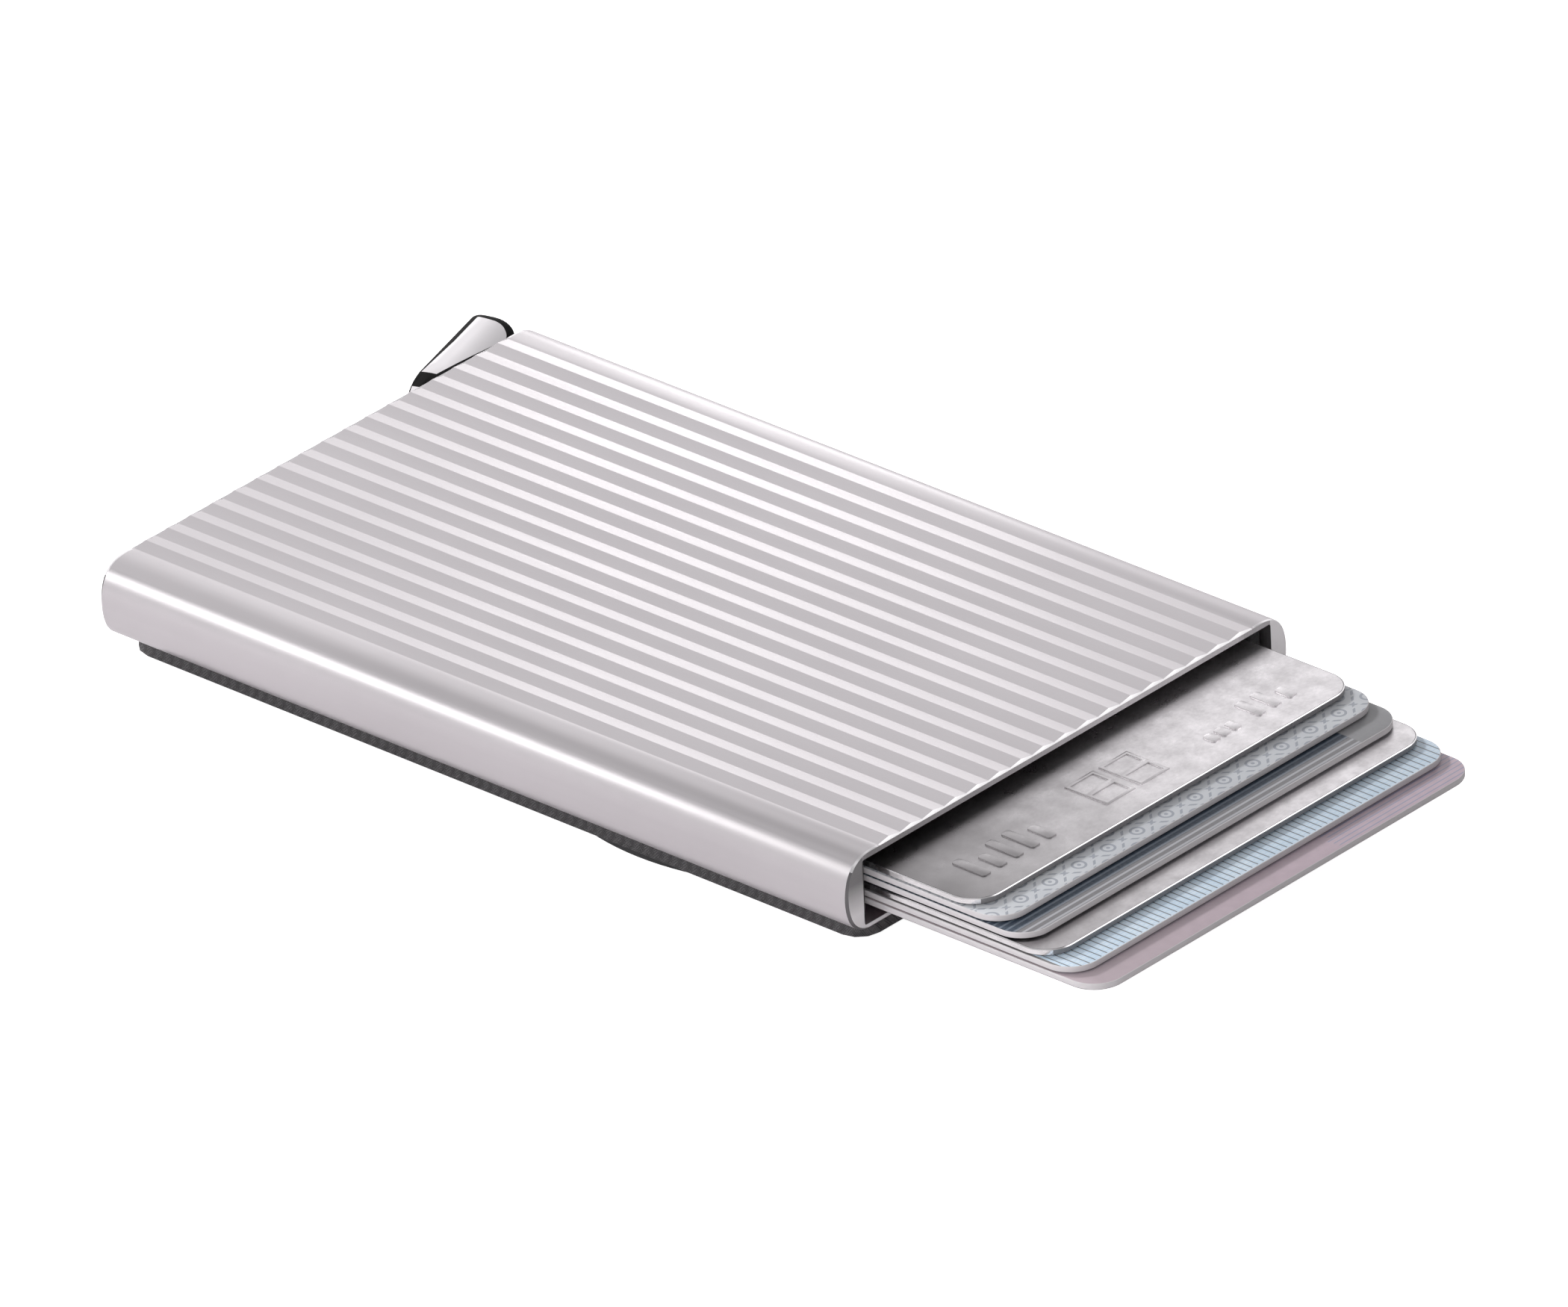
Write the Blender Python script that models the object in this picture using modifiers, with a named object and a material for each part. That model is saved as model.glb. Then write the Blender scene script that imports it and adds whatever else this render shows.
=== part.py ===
# Pop up card holder with a slide plate underneath, as separate pieces.
# Metres. +X runs out of the mouth, +Y to the lever's side, +Z up.
# The origin is on the round pad's flat face, under the middle of the sleeve.
# The holder stands open: the lever is out and the cards are fanned.

import math

import bmesh
import bpy
from mathutils import Matrix, Vector

OBJECT_NAME = "pop_up_card_holder"
CUTTER_NAME = "cutters"

# Cards, of the standard size
CARD_LENGTH = 0.0856
CARD_WIDTH = 0.05398
CARD_THICKNESS = 0.00076
CARD_CORNER_RADIUS = 0.00318
CARD_COUNT = 6
CARD_GAP = 0.000047
FAN_FIRST = 0.01264
FAN_STEP = 0.002953
PARK_DEPTH = 0.001

# Sleeve
BAY_DEPTH = 0.0084
SIDE_WALL = 0.00233
FLOOR_WALL = 0.00063
ROOF_WALL = 0.00054
CORNER_RADIUS = 0.003
SIDE_ROUND_SHARE = 1.49
CORNER_LIMIT_SHARE = 0.9
RIB_COUNT = 17
RIB_MARGIN = 0.004866
RIB_HEIGHT = 0.00026
EDGE_RISE_SHARE = 0.27
MOUTH_CHAMFER = 0.0003
MOUTH_CHAMFER_LENGTH = 0.0004
CORNER_STEPS = 6
SIDE_STEPS = 4

# Room round the cards
EDGE_CLEARANCE = 0.00033
RUN_GAP = 0.0003
CARD_RUN_GAP = 0.00019
HEADROOM = 0.00128
BOND = 0.0001
LINER_THICKNESS = 0.0015
LINER_SETBACK = 0.0012
PAD_STRIP_LENGTH = 0.012
PAD_STRIP_SETBACK = 0.004
PAD_STRIP_MARGIN = 0.005
BOTTOM_PAD_THICKNESS = 0.0005

# End cap
CAP_GAP = 0.00012
CAP_PLATE = 0.0005
CAP_RECESS = 0.0003
CAP_WALL = 0.0009
CAP_SIDE_WALL = 0.0012
CAP_OVERRUN = 0.001
SCREW_RADIUS = 0.0007
SCREW_HEAD_RADIUS = 0.0013
SCREW_HEAD_HEIGHT = 0.0005
SCREW_LENGTH = 0.0032
SCREW_GAP = 0.0001
SCREW_INSET = 0.0026
SCREW_SIDE_INSET = 0.00612
SCREW_SPACING = 0.009

# Lever
LEVER_ANGLE = math.radians(17.0)
LEVER_REACH = 0.0247
TIP_PROUD = 0.00045
PIVOT_INSET = 0.0035
WEDGE_WIDTH = 0.0053
WEDGE_ROOF_GAP = 0.00036
WEDGE_FLOOR_GAP = 0.0002
NOSE_RADIUS = 0.003
TIP_CORNER_RADIUS = 0.0008
HEEL_RADIUS = 0.0105
HEEL_START = 0.012
HEEL_END = 0.005
WEDGE_EDGE = 0.00025
NOTCH_GAP = 0.0007
HUB_RADIUS = 0.002
HUB_TOP_GAP = 0.0002
PIN_RADIUS = 0.0008
PIN_GAP = 0.0001
PIN_END_GAP = 0.00005
WASHER_GAP = 0.00003
ARM_WIDTH = 0.0034
ARM_STEP = 0.0024
ARM_END_GAP = 0.0029
ARM_BACK = 0.0015
TONGUE_WIDTH = 0.0015
TONGUE_OFFSET = -0.0003
TONGUE_LENGTH = 0.014
TONGUE_HEIGHT = 0.0012
TONGUE_GAP = 0.00015
LEVER_RIVET_RADIUS = 0.0005
LEVER_RIVET_PLACES = (0.0072, 0.0115)

# Slide plate, its rail and the round pad
SLIDE_GAP = 0.00025
PLATE_THICKNESS = 0.0019
PLATE_SIDE_INSET = 0.00325
PLATE_FRONT_INSET = 0.0013
PLATE_CORNER_RADIUS = 0.0026
PLATE_EDGE = 0.0002
PLATE_FLOOR = 0.0006
PLATE_LIP = 0.0006
CHANNEL_GAP = 0.00015
RAIL_FLANGE = 0.0004
RAIL_HALF_WIDTH = 0.012
NECK_HALF_WIDTH = 0.009
RAIL_PAD_MARGIN = 0.0018
SLIDE_TRAVEL = 0.03
STOP_LENGTH = 0.003
STOP_INSET = 0.0003
RAIL_RIVET_RADIUS = 0.0009
RAIL_RIVET_HEAD_RADIUS = 0.0016
RAIL_RIVET_HEAD = 0.00035
RIVET_END_INSET = 0.006
RIVET_SIDE = 0.005
RIVET_GAP = 0.0001
PAD_DROP = 0.00085
PAD_BOND = 0.00005
PAD_SIDE_MARGIN = 0.0005
PAD_FRONT_MARGIN = 0.0014
PAD_EDGE = 0.0002
PAD_SKIN = 0.0003
PAD_RIM = 0.0006
MAGNET_WIDTH = 0.0047
MAGNET_GAP = 0.0001
CUT_OVERRUN = 0.002
MERGE_DISTANCE = 0.000001

# Finishes: colour, roughness, metallic
ALUMINIUM = ((0.62, 0.59, 0.61), 0.33, 1.0)
CHROME = ((0.86, 0.86, 0.87), 0.06, 1.0)
BLACK_PLASTIC = ((0.02, 0.02, 0.021), 0.5, 0.0)
TEXTURED_PLASTIC = ((0.07, 0.067, 0.069), 0.7, 0.0)
FELT = ((0.02, 0.02, 0.02), 0.95, 0.0)
STEEL = ((0.55, 0.55, 0.56), 0.3, 1.0)
MAGNET = ((0.3, 0.3, 0.3), 0.4, 1.0)
CARD_FINISHES = (
    ((0.65, 0.62, 0.64), 0.35, 1.0),
    ((0.55, 0.56, 0.58), 0.4, 0.0),
    ((0.35, 0.38, 0.42), 0.4, 0.0),
    ((0.45, 0.43, 0.44), 0.4, 1.0),
    ((0.45, 0.58, 0.66), 0.4, 0.0),
    ((0.45, 0.34, 0.4), 0.4, 0.0),
)

# Turns an outline's own (u, v) into the part's (Y, Z), with its thickness along X
SIDE_ON = Matrix(((0, 0, 1, 0), (1, 0, 0, 0), (0, 1, 0, 0), (0, 0, 0, 1)))

# Heights
plate_bottom = PAD_DROP
plate_top = plate_bottom + PLATE_THICKNESS
sleeve_bottom = plate_top + SLIDE_GAP
cavity_floor = sleeve_bottom + FLOOR_WALL
cap_bottom = cavity_floor + CAP_GAP
cap_floor = cap_bottom + CAP_PLATE
card_pitch = CARD_THICKNESS + CARD_GAP
stack_bottom = cap_floor + CARD_RUN_GAP
stack_top = stack_bottom + CARD_COUNT * card_pitch - CARD_GAP
cavity_roof = stack_top + HEADROOM
cap_top = cavity_roof - CAP_GAP
cap_roof = cap_top - CAP_PLATE
sleeve_top = cavity_roof + ROOF_WALL
sleeve_height = sleeve_top - sleeve_bottom

# Widths
cavity_half = CARD_WIDTH / 2 + EDGE_CLEARANCE + LINER_THICKNESS + BOND
sleeve_half = cavity_half + SIDE_WALL
plate_half = sleeve_half - PLATE_SIDE_INSET

# Lengths
sleeve_length = CARD_LENGTH + PARK_DEPTH + BAY_DEPTH
mouth_x = sleeve_length / 2
rear_x = -mouth_x
parked_edge_x = mouth_x - PARK_DEPTH - CARD_LENGTH
plate_rear = rear_x
plate_front = mouth_x - PLATE_FRONT_INSET
strip_front = mouth_x - PAD_STRIP_SETBACK
strip_rear = strip_front - PAD_STRIP_LENGTH

# Lever
pivot_x = rear_x + PIVOT_INSET
pivot_y = sleeve_half + TIP_PROUD - LEVER_REACH
lever_low = cap_floor + WEDGE_FLOOR_GAP
wedge_high = cavity_roof - WEDGE_ROOF_GAP
hub_high = cap_roof - HUB_TOP_GAP
arm_front = parked_edge_x - RUN_GAP - pivot_x
tongue_low = (lever_low + hub_high) / 2 - TONGUE_HEIGHT / 2


def clear_scene():
    for old in list(bpy.data.objects):
        bpy.data.objects.remove(old, do_unlink=True)


def new_collection(name):
    collection = bpy.data.collections.new(name)
    bpy.context.scene.collection.children.link(collection)
    return collection


def make_material(name, finish):
    color, roughness, metallic = finish
    material = bpy.data.materials.new(name)
    material.use_nodes = True
    shader = material.node_tree.nodes["Principled BSDF"]
    shader.inputs["Base Color"].default_value = (*color, 1.0)
    shader.inputs["Roughness"].default_value = roughness
    shader.inputs["Metallic"].default_value = metallic
    return material


def add_part(name, mesh, place, finish, parent=None):
    part = bpy.data.objects.new(name, mesh)
    part.location = place
    part.parent = parent
    mesh.materials.append(make_material(name, finish))
    parts.objects.link(part)
    return part


def add_cutter(name, mesh, place, parent=None):
    cutter = bpy.data.objects.new(name, mesh)
    cutter.location = place
    cutter.parent = parent
    cutter.hide_render = True
    cutter.display_type = "WIRE"
    cutters.objects.link(cutter)
    return cutter


def boolean(part, tool, operation):
    modifier = part.modifiers.new(tool.name, "BOOLEAN")
    modifier.operation = operation
    modifier.object = tool
    modifier.solver = "EXACT"


def mesh_from(bm, name):
    mesh = bpy.data.meshes.new(name)
    bmesh.ops.recalc_face_normals(bm, faces=bm.faces)
    bm.to_mesh(mesh)
    bm.free()
    return mesh


def middle(low, high):
    return (Vector(low) + Vector(high)) / 2


def box_mesh(name, low, high, corner_radius=0.0, edge=0.0, steps=6):
    """A block round its own middle, with rounded upright corners and broken edges if asked."""
    size = Vector(high) - Vector(low)
    bm = bmesh.new()
    bmesh.ops.create_cube(bm, size=1.0, matrix=Matrix.Diagonal((*size, 1.0)))
    if corner_radius > 0:
        upright = [e for e in bm.edges if abs(e.verts[0].co.z - e.verts[1].co.z) > size.z / 2]
        bmesh.ops.bevel(bm, geom=upright, offset=corner_radius, offset_type="OFFSET",
                        segments=steps, profile=0.5, affect="EDGES", clamp_overlap=True)
    if edge > 0:
        rim = [e for e in bm.edges if abs(e.verts[0].co.z - e.verts[1].co.z) < size.z / 2]
        bmesh.ops.bevel(bm, geom=rim, offset=edge, offset_type="OFFSET",
                        segments=1, profile=0.5, affect="EDGES", clamp_overlap=True)
    return mesh_from(bm, name)


def add_box(name, low, high, finish, parent=None, **rounding):
    return add_part(name, box_mesh(name, low, high, **rounding), middle(low, high), finish, parent)


def cut_box(part, name, low, high, parent=None, operation="DIFFERENCE"):
    cutter = add_cutter(name, box_mesh(name, low, high), middle(low, high), parent)
    boolean(part, cutter, operation)


def cylinder_mesh(name, radius, height, steps=24):
    bm = bmesh.new()
    bmesh.ops.create_cone(bm, cap_ends=True, segments=steps, radius1=radius, radius2=radius, depth=height)
    return mesh_from(bm, name)


def cut_cylinder(part, name, center, low, high, radius, parent=None, operation="DIFFERENCE"):
    mesh = cylinder_mesh(name, radius, high - low)
    cutter = add_cutter(name, mesh, (center[0], center[1], (low + high) / 2), parent)
    boolean(part, cutter, operation)


def turned(name, profile, place, finish, parent=None, closed=False, steps=24):
    """Turn a profile of (radius, height) pairs, given down its outer side, round the upright axis."""
    mesh = bpy.data.meshes.new(name)
    bm = bmesh.new()
    ring = [bm.verts.new((radius, 0.0, height)) for radius, height in profile]
    for start, end in zip(ring, ring[1:]):
        bm.edges.new((start, end))
    if closed:
        bm.edges.new((ring[-1], ring[0]))
    bm.to_mesh(mesh)
    bm.free()
    part = add_part(name, mesh, place, finish, parent)
    screw = part.modifiers.new("turn", "SCREW")
    screw.steps = steps
    screw.render_steps = steps
    screw.use_merge_vertices = True
    screw.merge_threshold = MERGE_DISTANCE
    screw.use_smooth_shade = True
    return part


def outline_mesh(name, points, thickness):
    """A flat outline with a thickness, lying round its own XY plane."""
    curve = bpy.data.curves.new(name, "CURVE")
    curve.dimensions = "2D"
    curve.fill_mode = "BOTH"
    curve.extrude = thickness / 2
    spline = curve.splines.new("POLY")
    spline.points.add(len(points) - 1)
    for point, (u, v) in zip(spline.points, points):
        point.co = (u, v, 0.0, 1.0)
    spline.use_cyclic_u = True
    guide = bpy.data.objects.new(name, curve)
    bpy.context.scene.collection.objects.link(guide)
    evaluated = guide.evaluated_get(bpy.context.evaluated_depsgraph_get())
    mesh = bpy.data.meshes.new_from_object(evaluated)
    bpy.data.objects.remove(guide, do_unlink=True)
    bm = bmesh.new()
    bm.from_mesh(mesh)
    bmesh.ops.remove_doubles(bm, verts=bm.verts, dist=MERGE_DISTANCE)
    bmesh.ops.recalc_face_normals(bm, faces=bm.faces)
    bm.to_mesh(mesh)
    bm.free()
    return mesh


def arc(center, radius, start, end, steps):
    """Points on an arc, both ends included, angles in radians."""
    angles = [start + (end - start) * i / steps for i in range(steps + 1)]
    return [(center[0] + radius * math.cos(a), center[1] + radius * math.sin(a)) for a in angles]


def sleeve_outline(rib_height):
    """The sleeve's section as (y, z, chamfer share), from the first valley round to the last."""
    half_height = sleeve_height / 2
    mid_z = sleeve_bottom + half_height
    side_radius = SIDE_ROUND_SHARE * half_height
    corner = min(CORNER_RADIUS, CORNER_LIMIT_SHARE * half_height)
    side_y = sleeve_half - side_radius
    rise = half_height - corner
    shift = math.sqrt((side_radius - corner) ** 2 - rise ** 2)
    turn = math.atan2(rise, shift)
    top_center = (side_y + shift, mid_z + rise)
    low_center = (side_y + shift, mid_z - rise)
    far = arc(top_center, corner, math.pi / 2, turn, CORNER_STEPS)
    far += arc((side_y, mid_z), side_radius, turn, -turn, SIDE_STEPS)[1:-1]
    far += arc(low_center, corner, -turn, -math.pi / 2, CORNER_STEPS)
    near = [(-y, z) for y, z in reversed(far)]
    valley = sleeve_half - RIB_MARGIN
    pitch = 2 * valley / RIB_COUNT
    ribs = []
    for k in range(RIB_COUNT + 1):
        ribs.append((-valley + k * pitch, sleeve_top))
        if k < RIB_COUNT:
            ribs.append((-valley + (k + 0.5) * pitch, sleeve_top + rib_height))
    strip_y = (valley + top_center[0]) / 2
    strip_z = sleeve_top + rib_height * EDGE_RISE_SHARE
    return [(-strip_y, strip_z)] + ribs + [(strip_y, strip_z)] + far + near


def inset_outline(points, distance):
    """Move each point inwards, least where the section faces up, so that ribs end level."""
    moved = []
    count = len(points)
    for i, (y, z) in enumerate(points):
        before = points[i - 1]
        after = points[(i + 1) % count]
        along = Vector((after[0] - before[0], after[1] - before[1])).normalized()
        outward = Vector((-along.y, along.x))
        share = 1.0 - max(0.0, outward.y)
        moved.append((y - outward.x * distance * share, z - outward.y * distance * share))
    return moved


def loft_mesh(name, sections):
    """Join like rings of points into one closed solid."""
    bm = bmesh.new()
    rings = [[bm.verts.new(point) for point in section] for section in sections]
    for ring, following in zip(rings, rings[1:]):
        for i, vert in enumerate(ring):
            after = (i + 1) % len(ring)
            bm.faces.new((vert, ring[after], following[after], following[i]))
    bm.faces.new(rings[0])
    bm.faces.new(rings[-1])
    return mesh_from(bm, name)


def add_sleeve():
    full = sleeve_outline(RIB_HEIGHT)
    end = inset_outline(sleeve_outline(0.0), MOUTH_CHAMFER)
    stations = (
        (rear_x, end),
        (rear_x + MOUTH_CHAMFER_LENGTH, full),
        (mouth_x - MOUTH_CHAMFER_LENGTH, full),
        (mouth_x, end),
    )
    sections = [[(x, y, z) for y, z in outline] for x, outline in stations]
    sleeve = add_part("sleeve", loft_mesh("sleeve", sections), (0, 0, 0), ALUMINIUM)
    cut_box(sleeve, "cavity_cutter",
            (rear_x - CUT_OVERRUN, -cavity_half, cavity_floor),
            (mouth_x + CUT_OVERRUN, cavity_half, cavity_roof))
    cut_box(sleeve, "lever_notch_cutter",
            (rear_x - CUT_OVERRUN, cavity_half - SIDE_WALL / 2, cavity_floor),
            (rear_x + WEDGE_WIDTH + NOTCH_GAP, sleeve_half + CUT_OVERRUN, cavity_roof))
    for i, place in enumerate(cap_screw_places()):
        cut_cylinder(sleeve, f"cap_screw_hole_{i + 1}", place, sleeve_bottom - CUT_OVERRUN,
                     (cavity_floor + cavity_roof) / 2, SCREW_HEAD_RADIUS + SCREW_GAP)
    for i, place in enumerate(rail_rivet_places()):
        cut_cylinder(sleeve, f"rail_rivet_hole_{i + 1}", place, sleeve_bottom - CUT_OVERRUN,
                     (cavity_floor + cavity_roof) / 2, RAIL_RIVET_RADIUS + RIVET_GAP)


def add_cards():
    for k in range(CARD_COUNT):
        number = k + 1
        front = mouth_x + FAN_FIRST + k * FAN_STEP
        low = stack_bottom + (CARD_COUNT - number) * card_pitch
        add_box(f"card_{number}",
                (front - CARD_LENGTH, -CARD_WIDTH / 2, low),
                (front, CARD_WIDTH / 2, low + CARD_THICKNESS),
                CARD_FINISHES[k], corner_radius=CARD_CORNER_RADIUS)


def add_liners():
    inner = cavity_half - BOND - LINER_THICKNESS
    outer = cavity_half - BOND
    rear = rear_x + BAY_DEPTH
    front = mouth_x - LINER_SETBACK
    low = cavity_floor + BOND
    high = cavity_roof - BOND
    add_box("near_liner", (rear, -outer, low), (front, -inner, high), FELT)
    add_box("far_liner", (rear, inner, low), (front, outer, high), FELT)


def add_pad_strips():
    half = CARD_WIDTH / 2 - PAD_STRIP_MARGIN
    add_box("top_pad",
            (strip_rear, -half, stack_top + CARD_RUN_GAP),
            (strip_front, half, cavity_roof - BOND), FELT)
    low = cavity_floor + BOND
    add_box("bottom_pad",
            (strip_rear, -half, low),
            (strip_front, half, low + BOTTOM_PAD_THICKNESS), FELT)


def cap_screw_places():
    x = rear_x + SCREW_INSET
    y = SCREW_SIDE_INSET - cavity_half
    return [(x, y + SCREW_SPACING), (x, y)]


def add_end_cap():
    rear = rear_x + CAP_RECESS
    front = parked_edge_x - RUN_GAP
    half = cavity_half - CAP_GAP
    beyond = half + CUT_OVERRUN
    wall_inner = rear + CAP_WALL
    bay_front = rear_x + WEDGE_WIDTH + NOTCH_GAP + CAP_WALL
    block_front = pivot_x + arm_front - ARM_WIDTH - RUN_GAP
    heel_y = pivot_y + HEEL_END - CAP_OVERRUN
    bay_start = pivot_y + HUB_RADIUS + NOTCH_GAP / 2
    cap = add_box("end_cap", (rear, -half, cap_bottom), (front, half, cap_top), BLACK_PLASTIC)
    cut_box(cap, "arm_chamber",
            (block_front, -half + CAP_SIDE_WALL, cap_floor),
            (front + CUT_OVERRUN, pivot_y + ARM_BACK + CAP_OVERRUN + CAP_OVERRUN, cap_roof))
    cut_box(cap, "hub_chamber",
            (wall_inner, cap_screw_places()[0][1] + SCREW_HEAD_RADIUS + CAP_OVERRUN, cap_floor),
            (block_front + CAP_OVERRUN, bay_start + CAP_OVERRUN, cap_roof))
    cut_box(cap, "wedge_bay", (wall_inner, bay_start, cap_floor), (bay_front, beyond, cap_top + CUT_OVERRUN))
    cut_box(cap, "rear_slot", (rear - CUT_OVERRUN, heel_y, cap_floor),
            (wall_inner + CAP_OVERRUN, beyond, cap_top + CUT_OVERRUN))
    cut_cylinder(cap, "pin_seat", (pivot_x, pivot_y), cap_bottom - CUT_OVERRUN, cap_top + CUT_OVERRUN,
                 PIN_RADIUS + PIN_GAP)
    for i, place in enumerate(cap_screw_places()):
        cut_cylinder(cap, f"cap_screw_seat_{i + 1}", place, cap_bottom - CUT_OVERRUN,
                     sleeve_bottom + SCREW_LENGTH + SCREW_GAP, SCREW_RADIUS + SCREW_GAP)
        head = SCREW_GAP / 2
        turned(f"cap_screw_{i + 1}", (
            (0.0, SCREW_LENGTH),
            (SCREW_RADIUS, SCREW_LENGTH),
            (SCREW_RADIUS, SCREW_HEAD_HEIGHT + head),
            (SCREW_HEAD_RADIUS, head + SCREW_HEAD_HEIGHT / 2),
            (SCREW_HEAD_RADIUS, head),
            (0.0, head),
        ), (*place, sleeve_bottom), STEEL)


def wedge_outline():
    """The finger wedge in plan, round the pivot, as it lies when the lever is shut."""
    outer = -PIVOT_INSET
    inner = outer + WEDGE_WIDTH
    root = HUB_RADIUS + 2 * NOTCH_GAP
    tip = LEVER_REACH
    fall = math.asin((HEEL_START - HEEL_END) / HEEL_RADIUS)
    heel = arc((outer + HEEL_RADIUS, HEEL_START), HEEL_RADIUS, math.pi + fall, math.pi, 6)
    corner_center = (outer + TIP_CORNER_RADIUS, tip - TIP_CORNER_RADIUS)
    corner = arc(corner_center, TIP_CORNER_RADIUS, math.pi, math.pi / 2, 4)
    nose = arc((inner - NOSE_RADIUS, tip - NOSE_RADIUS), NOSE_RADIUS, math.pi / 2, 0.0, 8)
    return [(heel[0][0], root)] + heel + corner + nose + [(inner, root)]


def arm_outline():
    """The stepped pusher seen from the side: y along it, z up, the longest step lowest."""
    longest = pivot_y + cavity_half - ARM_END_GAP
    points = [(ARM_BACK, lever_low), (-longest, lever_low)]
    for level in range(CARD_COUNT):
        end = -(longest - level * ARM_STEP)
        top = stack_bottom + level * card_pitch + CARD_THICKNESS
        points.append((end, top))
        if level < CARD_COUNT - 1:
            points.append((end + ARM_STEP, top))
    points.append((ARM_BACK, stack_top))
    return points


def add_lever():
    pivot = bpy.data.objects.new("lever_pivot", None)
    pivot.location = (pivot_x, pivot_y, 0)
    pivot.rotation_euler = (0, 0, LEVER_ANGLE)
    parts.objects.link(pivot)

    arm_mesh = outline_mesh("lever_arm", arm_outline(), ARM_WIDTH)
    arm_mesh.transform(Matrix.Translation((arm_front - ARM_WIDTH / 2, 0, 0)) @ SIDE_ON)
    arm = add_part("lever_arm", arm_mesh, (0, 0, 0), BLACK_PLASTIC, pivot)
    cut_cylinder(arm, "hub", (0, 0), lever_low, hub_high, HUB_RADIUS, pivot, "UNION")
    tongue_left = TONGUE_OFFSET
    tongue_right = TONGUE_OFFSET + TONGUE_WIDTH
    tongue_high = tongue_low + TONGUE_HEIGHT
    cut_box(arm, "tongue", (tongue_left, 0, tongue_low), (tongue_right, TONGUE_LENGTH, tongue_high),
            pivot, "UNION")
    cut_cylinder(arm, "hub_bore", (0, 0), lever_low - CUT_OVERRUN, hub_high + CUT_OVERRUN,
                 PIN_RADIUS + PIN_GAP, pivot)

    wedge_mesh = outline_mesh("lever_wedge", wedge_outline(), wedge_high - lever_low)
    wedge = add_part("lever_wedge", wedge_mesh, (0, 0, (lever_low + wedge_high) / 2), CHROME, pivot)
    edge = wedge.modifiers.new("edge", "BEVEL")
    edge.width = WEDGE_EDGE
    edge.segments = 2
    edge.limit_method = "ANGLE"
    edge.angle_limit = math.radians(60)
    cut_box(wedge, "tongue_slot",
            (tongue_left - TONGUE_GAP, 0, tongue_low - TONGUE_GAP),
            (tongue_right + TONGUE_GAP, TONGUE_LENGTH + TONGUE_GAP, tongue_high + TONGUE_GAP), pivot)
    rivet_x = TONGUE_OFFSET + TONGUE_WIDTH / 2
    for i, along in enumerate(LEVER_RIVET_PLACES):
        place = (rivet_x, along)
        radius = LEVER_RIVET_RADIUS + RIVET_GAP / 2
        for carrier, hole in ((arm, "arm"), (wedge, "wedge")):
            cut_cylinder(carrier, f"{hole}_rivet_hole_{i + 1}", place, lever_low - CUT_OVERRUN,
                         tongue_high + TONGUE_GAP / 2, radius, pivot)
        turned(f"lever_rivet_{i + 1}", (
            (0.0, tongue_high),
            (LEVER_RIVET_RADIUS, tongue_high),
            (LEVER_RIVET_RADIUS, lever_low + PIN_END_GAP),
            (0.0, lever_low + PIN_END_GAP),
        ), (rivet_x, along, 0), STEEL, pivot, steps=16)

    turned("friction_washer", (
        (HUB_RADIUS, lever_low - WASHER_GAP),
        (HUB_RADIUS, cap_floor + WASHER_GAP),
        (PIN_RADIUS + PIN_GAP, cap_floor + WASHER_GAP),
        (PIN_RADIUS + PIN_GAP, lever_low - WASHER_GAP),
    ), (pivot_x, pivot_y, 0), STEEL, closed=True)
    turned("pivot_pin", (
        (0.0, cap_top - PIN_END_GAP),
        (PIN_RADIUS, cap_top - PIN_END_GAP),
        (PIN_RADIUS, cap_bottom + PIN_END_GAP),
        (0.0, cap_bottom + PIN_END_GAP),
    ), (pivot_x, pivot_y, 0), STEEL)


def t_section(clearance, low, neck_high):
    """A T section as (y, z): a wide flange below and a narrow neck above."""
    flange = RAIL_HALF_WIDTH + clearance
    neck = NECK_HALF_WIDTH + clearance
    shoulder = rail_shoulder() + clearance
    return [(-flange, low), (flange, low), (flange, shoulder), (neck, shoulder),
            (neck, neck_high), (-neck, neck_high), (-neck, shoulder), (-flange, shoulder)]


def rail_shoulder():
    return plate_bottom + PLATE_FLOOR + CHANNEL_GAP + RAIL_FLANGE


def t_bar_mesh(name, clearance, low, neck_high, rear, front):
    mesh = outline_mesh(name, t_section(clearance, low, neck_high), front - rear)
    mesh.transform(SIDE_ON)
    return mesh


def rail_span():
    """The rail starts where the plate's travel ends and stops short of the soft strip above it."""
    rear = plate_rear + STOP_INSET + STOP_LENGTH + SLIDE_TRAVEL + RUN_GAP
    return rear, strip_rear - RAIL_PAD_MARGIN


def rail_rivet_places():
    rear, front = rail_span()
    ends = (rear + RIVET_END_INSET, front - RIVET_END_INSET)
    return [(x, y) for x in ends for y in (-RIVET_SIDE, RIVET_SIDE)]


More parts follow.
